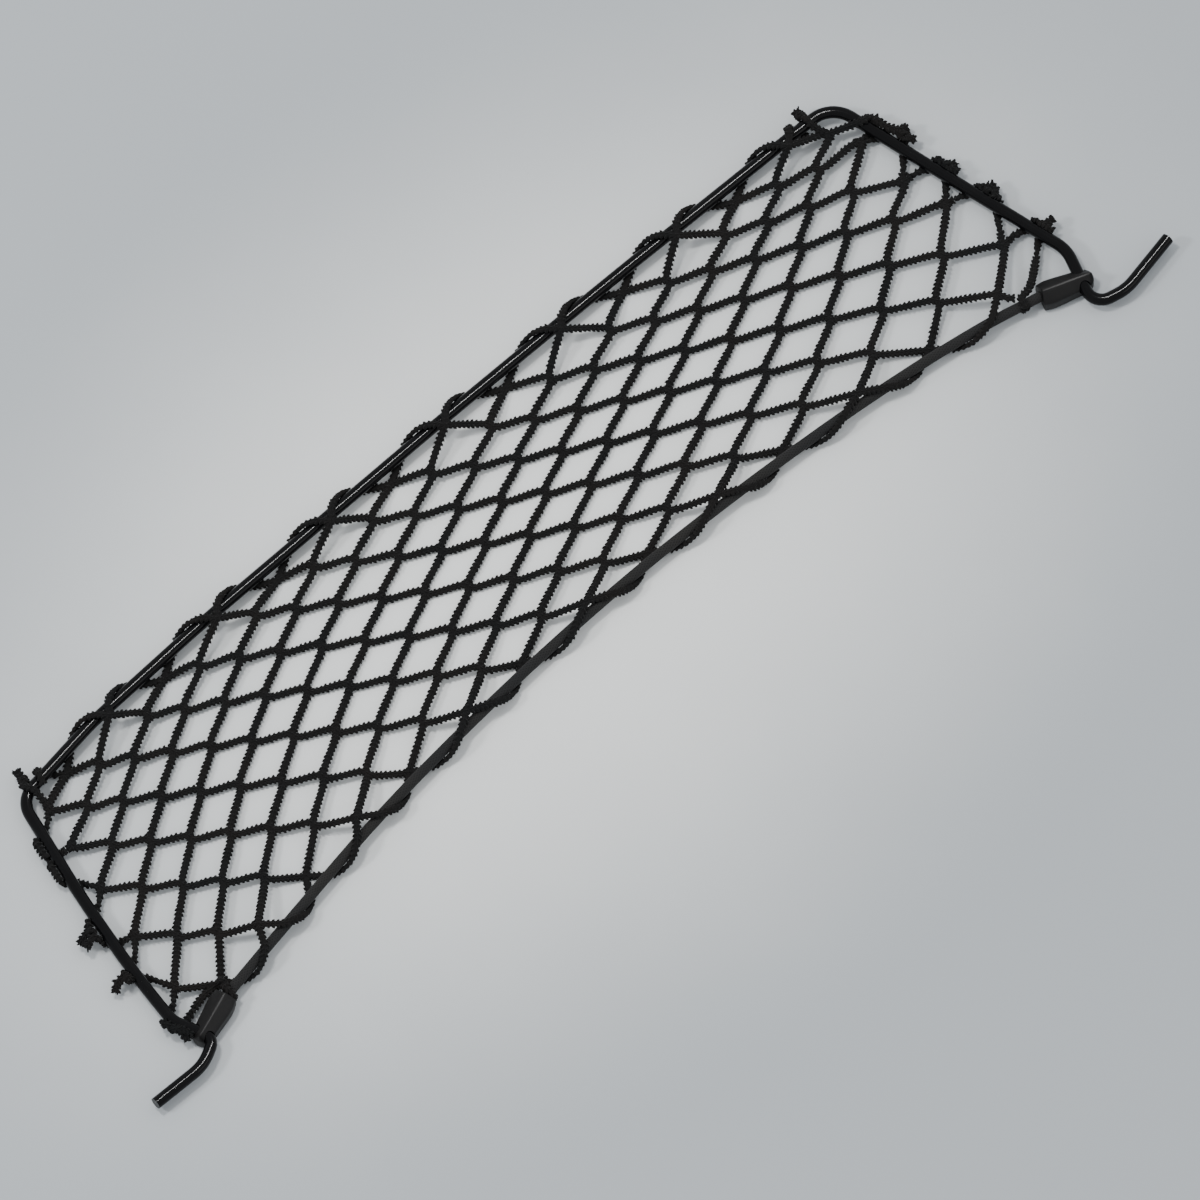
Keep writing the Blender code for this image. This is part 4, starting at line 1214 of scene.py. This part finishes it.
core_tree, ins, outs = new_group(
    "cord core",
    [("Geometry", GEOMETRY, None), ("Width", FLOAT, 0.0030), ("Thickness", FLOAT, 0.0020),
     ("Spacing", FLOAT, 0.002), ("Finish", MATERIAL, None)],
    [("Geometry", GEOMETRY)],
    "GeometryNodeTree",
)
path = path_with_normals(core_tree, ins.outputs["Geometry"], ins.outputs["Spacing"])
ring = node(core_tree, "GeometryNodeCurvePrimitiveCircle", Resolution=8, Radius=0.5)
oval = node(core_tree, "GeometryNodeTransform", Geometry=ring.outputs["Curve"])
fill(core_tree, oval.inputs["Scale"], vector(core_tree, ins.outputs["Thickness"], ins.outputs["Width"], 1.0))
swept = node(core_tree, "GeometryNodeCurveToMesh", Curve=path, Profile_Curve=oval.outputs["Geometry"],
             Fill_Caps=True)
put_out(core_tree, outs, swept.outputs["Mesh"], ins.outputs["Finish"])

# %% [markdown]
# ## The yarn's finish and the cord pieces
#
# Spun black polyester: almost no shine, a little sheen at grazing angles, and dye that drifts
# between a bluish and a brownish black. The chains are dealt out to a few objects, so that no mesh
# grows too large. The core is the net's own cloth, and the stitches ride on it.

# %% Black yarn, core and stitches
black_yarn, tree, shader = new_material("black_yarn", 0.94, Sheen_Weight=0.06, Sheen_Roughness=0.4,
                                        Specular_IOR_Level=0.15)
yarn = use_group(tree, fibres, First_dye=(0.0028, 0.0033, 0.0036, 1), Second_dye=(0.0054, 0.0044, 0.0040, 1),
                 Drift_scale=35.0, Fibre_scale=3800.0)
fill(tree, shader.inputs["Base Color"], yarn.outputs["Colour"])
add_bump(tree, shader, yarn.outputs["Height"], 0.00010, 0.8)

chains = mesh_chains + lacing_chains + leg_chains
net = grow("net_core", polyline("net_core", chains), core_tree,
           Width=0.0032, Thickness=0.0022, Spacing=0.0020, Finish=black_yarn)
half = len(mesh_chains) // 2
quarter = half // 2
groups = (
    ("stitches_a", mesh_chains[:quarter]),
    ("stitches_b", mesh_chains[quarter:half]),
    ("stitches_c", mesh_chains[half : half + quarter]),
    ("stitches_d", mesh_chains[half + quarter :]),
    ("stitches_edge", lacing_chains),
    ("stitches_legs", leg_chains),
)
stitch_pieces = []
for number, (name, some) in enumerate(groups):
    piece = grow("net_" + name, polyline(name, some), knit_tree, Pitch=0.0023, Width=0.0047, Thickness=0.0027,
                 Slant=0.9, Unevenness=0.10, Seed=3 + number, Finish=black_yarn)
    stitch_pieces.append(piece)
for piece in [net, *stitch_pieces]:
    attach(piece, "root")
    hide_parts("net")

# %% [markdown]
# ## Frayed ends
#
# A knitted cord that is cut and not sealed opens into a small brush of yarn ends. Each brush is a
# handful of thin fibres that start inside the cord and spread out, each with its own bend and
# length from a fixed seed. They are swept with the same tree as the round bars, only far thinner.

# %% Frayed ends
FIBRES_PER_END = 46
LOWEST_FIBRE = 0.3  # a fibre comes no nearer to the floor than this
draw = np.random.default_rng(11)
fibre_chains = []
for end, way in cut_ends:
    side = way.cross(UP).normalized()
    rise = side.cross(way).normalized()
    for _ in range(FIBRES_PER_END):
        angle, reach = draw.uniform(0, math.tau), draw.uniform(0.3, 1.7)
        spread = side * (math.cos(angle) * reach) + rise * (math.sin(angle) * reach * 0.7)
        root = end - way * draw.uniform(0.8, 2.4) + spread * 0.75
        length, curl = draw.uniform(0.9, 2.1), Vector(draw.uniform(-0.2, 0.2, 3))
        stops = [root + (way + spread * 0.12 * n + curl * n) * (length * n / 3) for n in range(4)]
        for stop in stops:
            stop.z = max(stop.z, LOWEST_FIBRE)
        fibre_chains.append([Section(stop, UP, 1 - 0.2 * n) for n, stop in enumerate(stops)])
frayed = grow("net_frayed_ends", polyline("frayed", fibre_chains), bar_tree,
              Radius=0.00038, Sides=4, Spacing=0.0012, Finish=black_yarn)
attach(frayed, "root")
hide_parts("net")
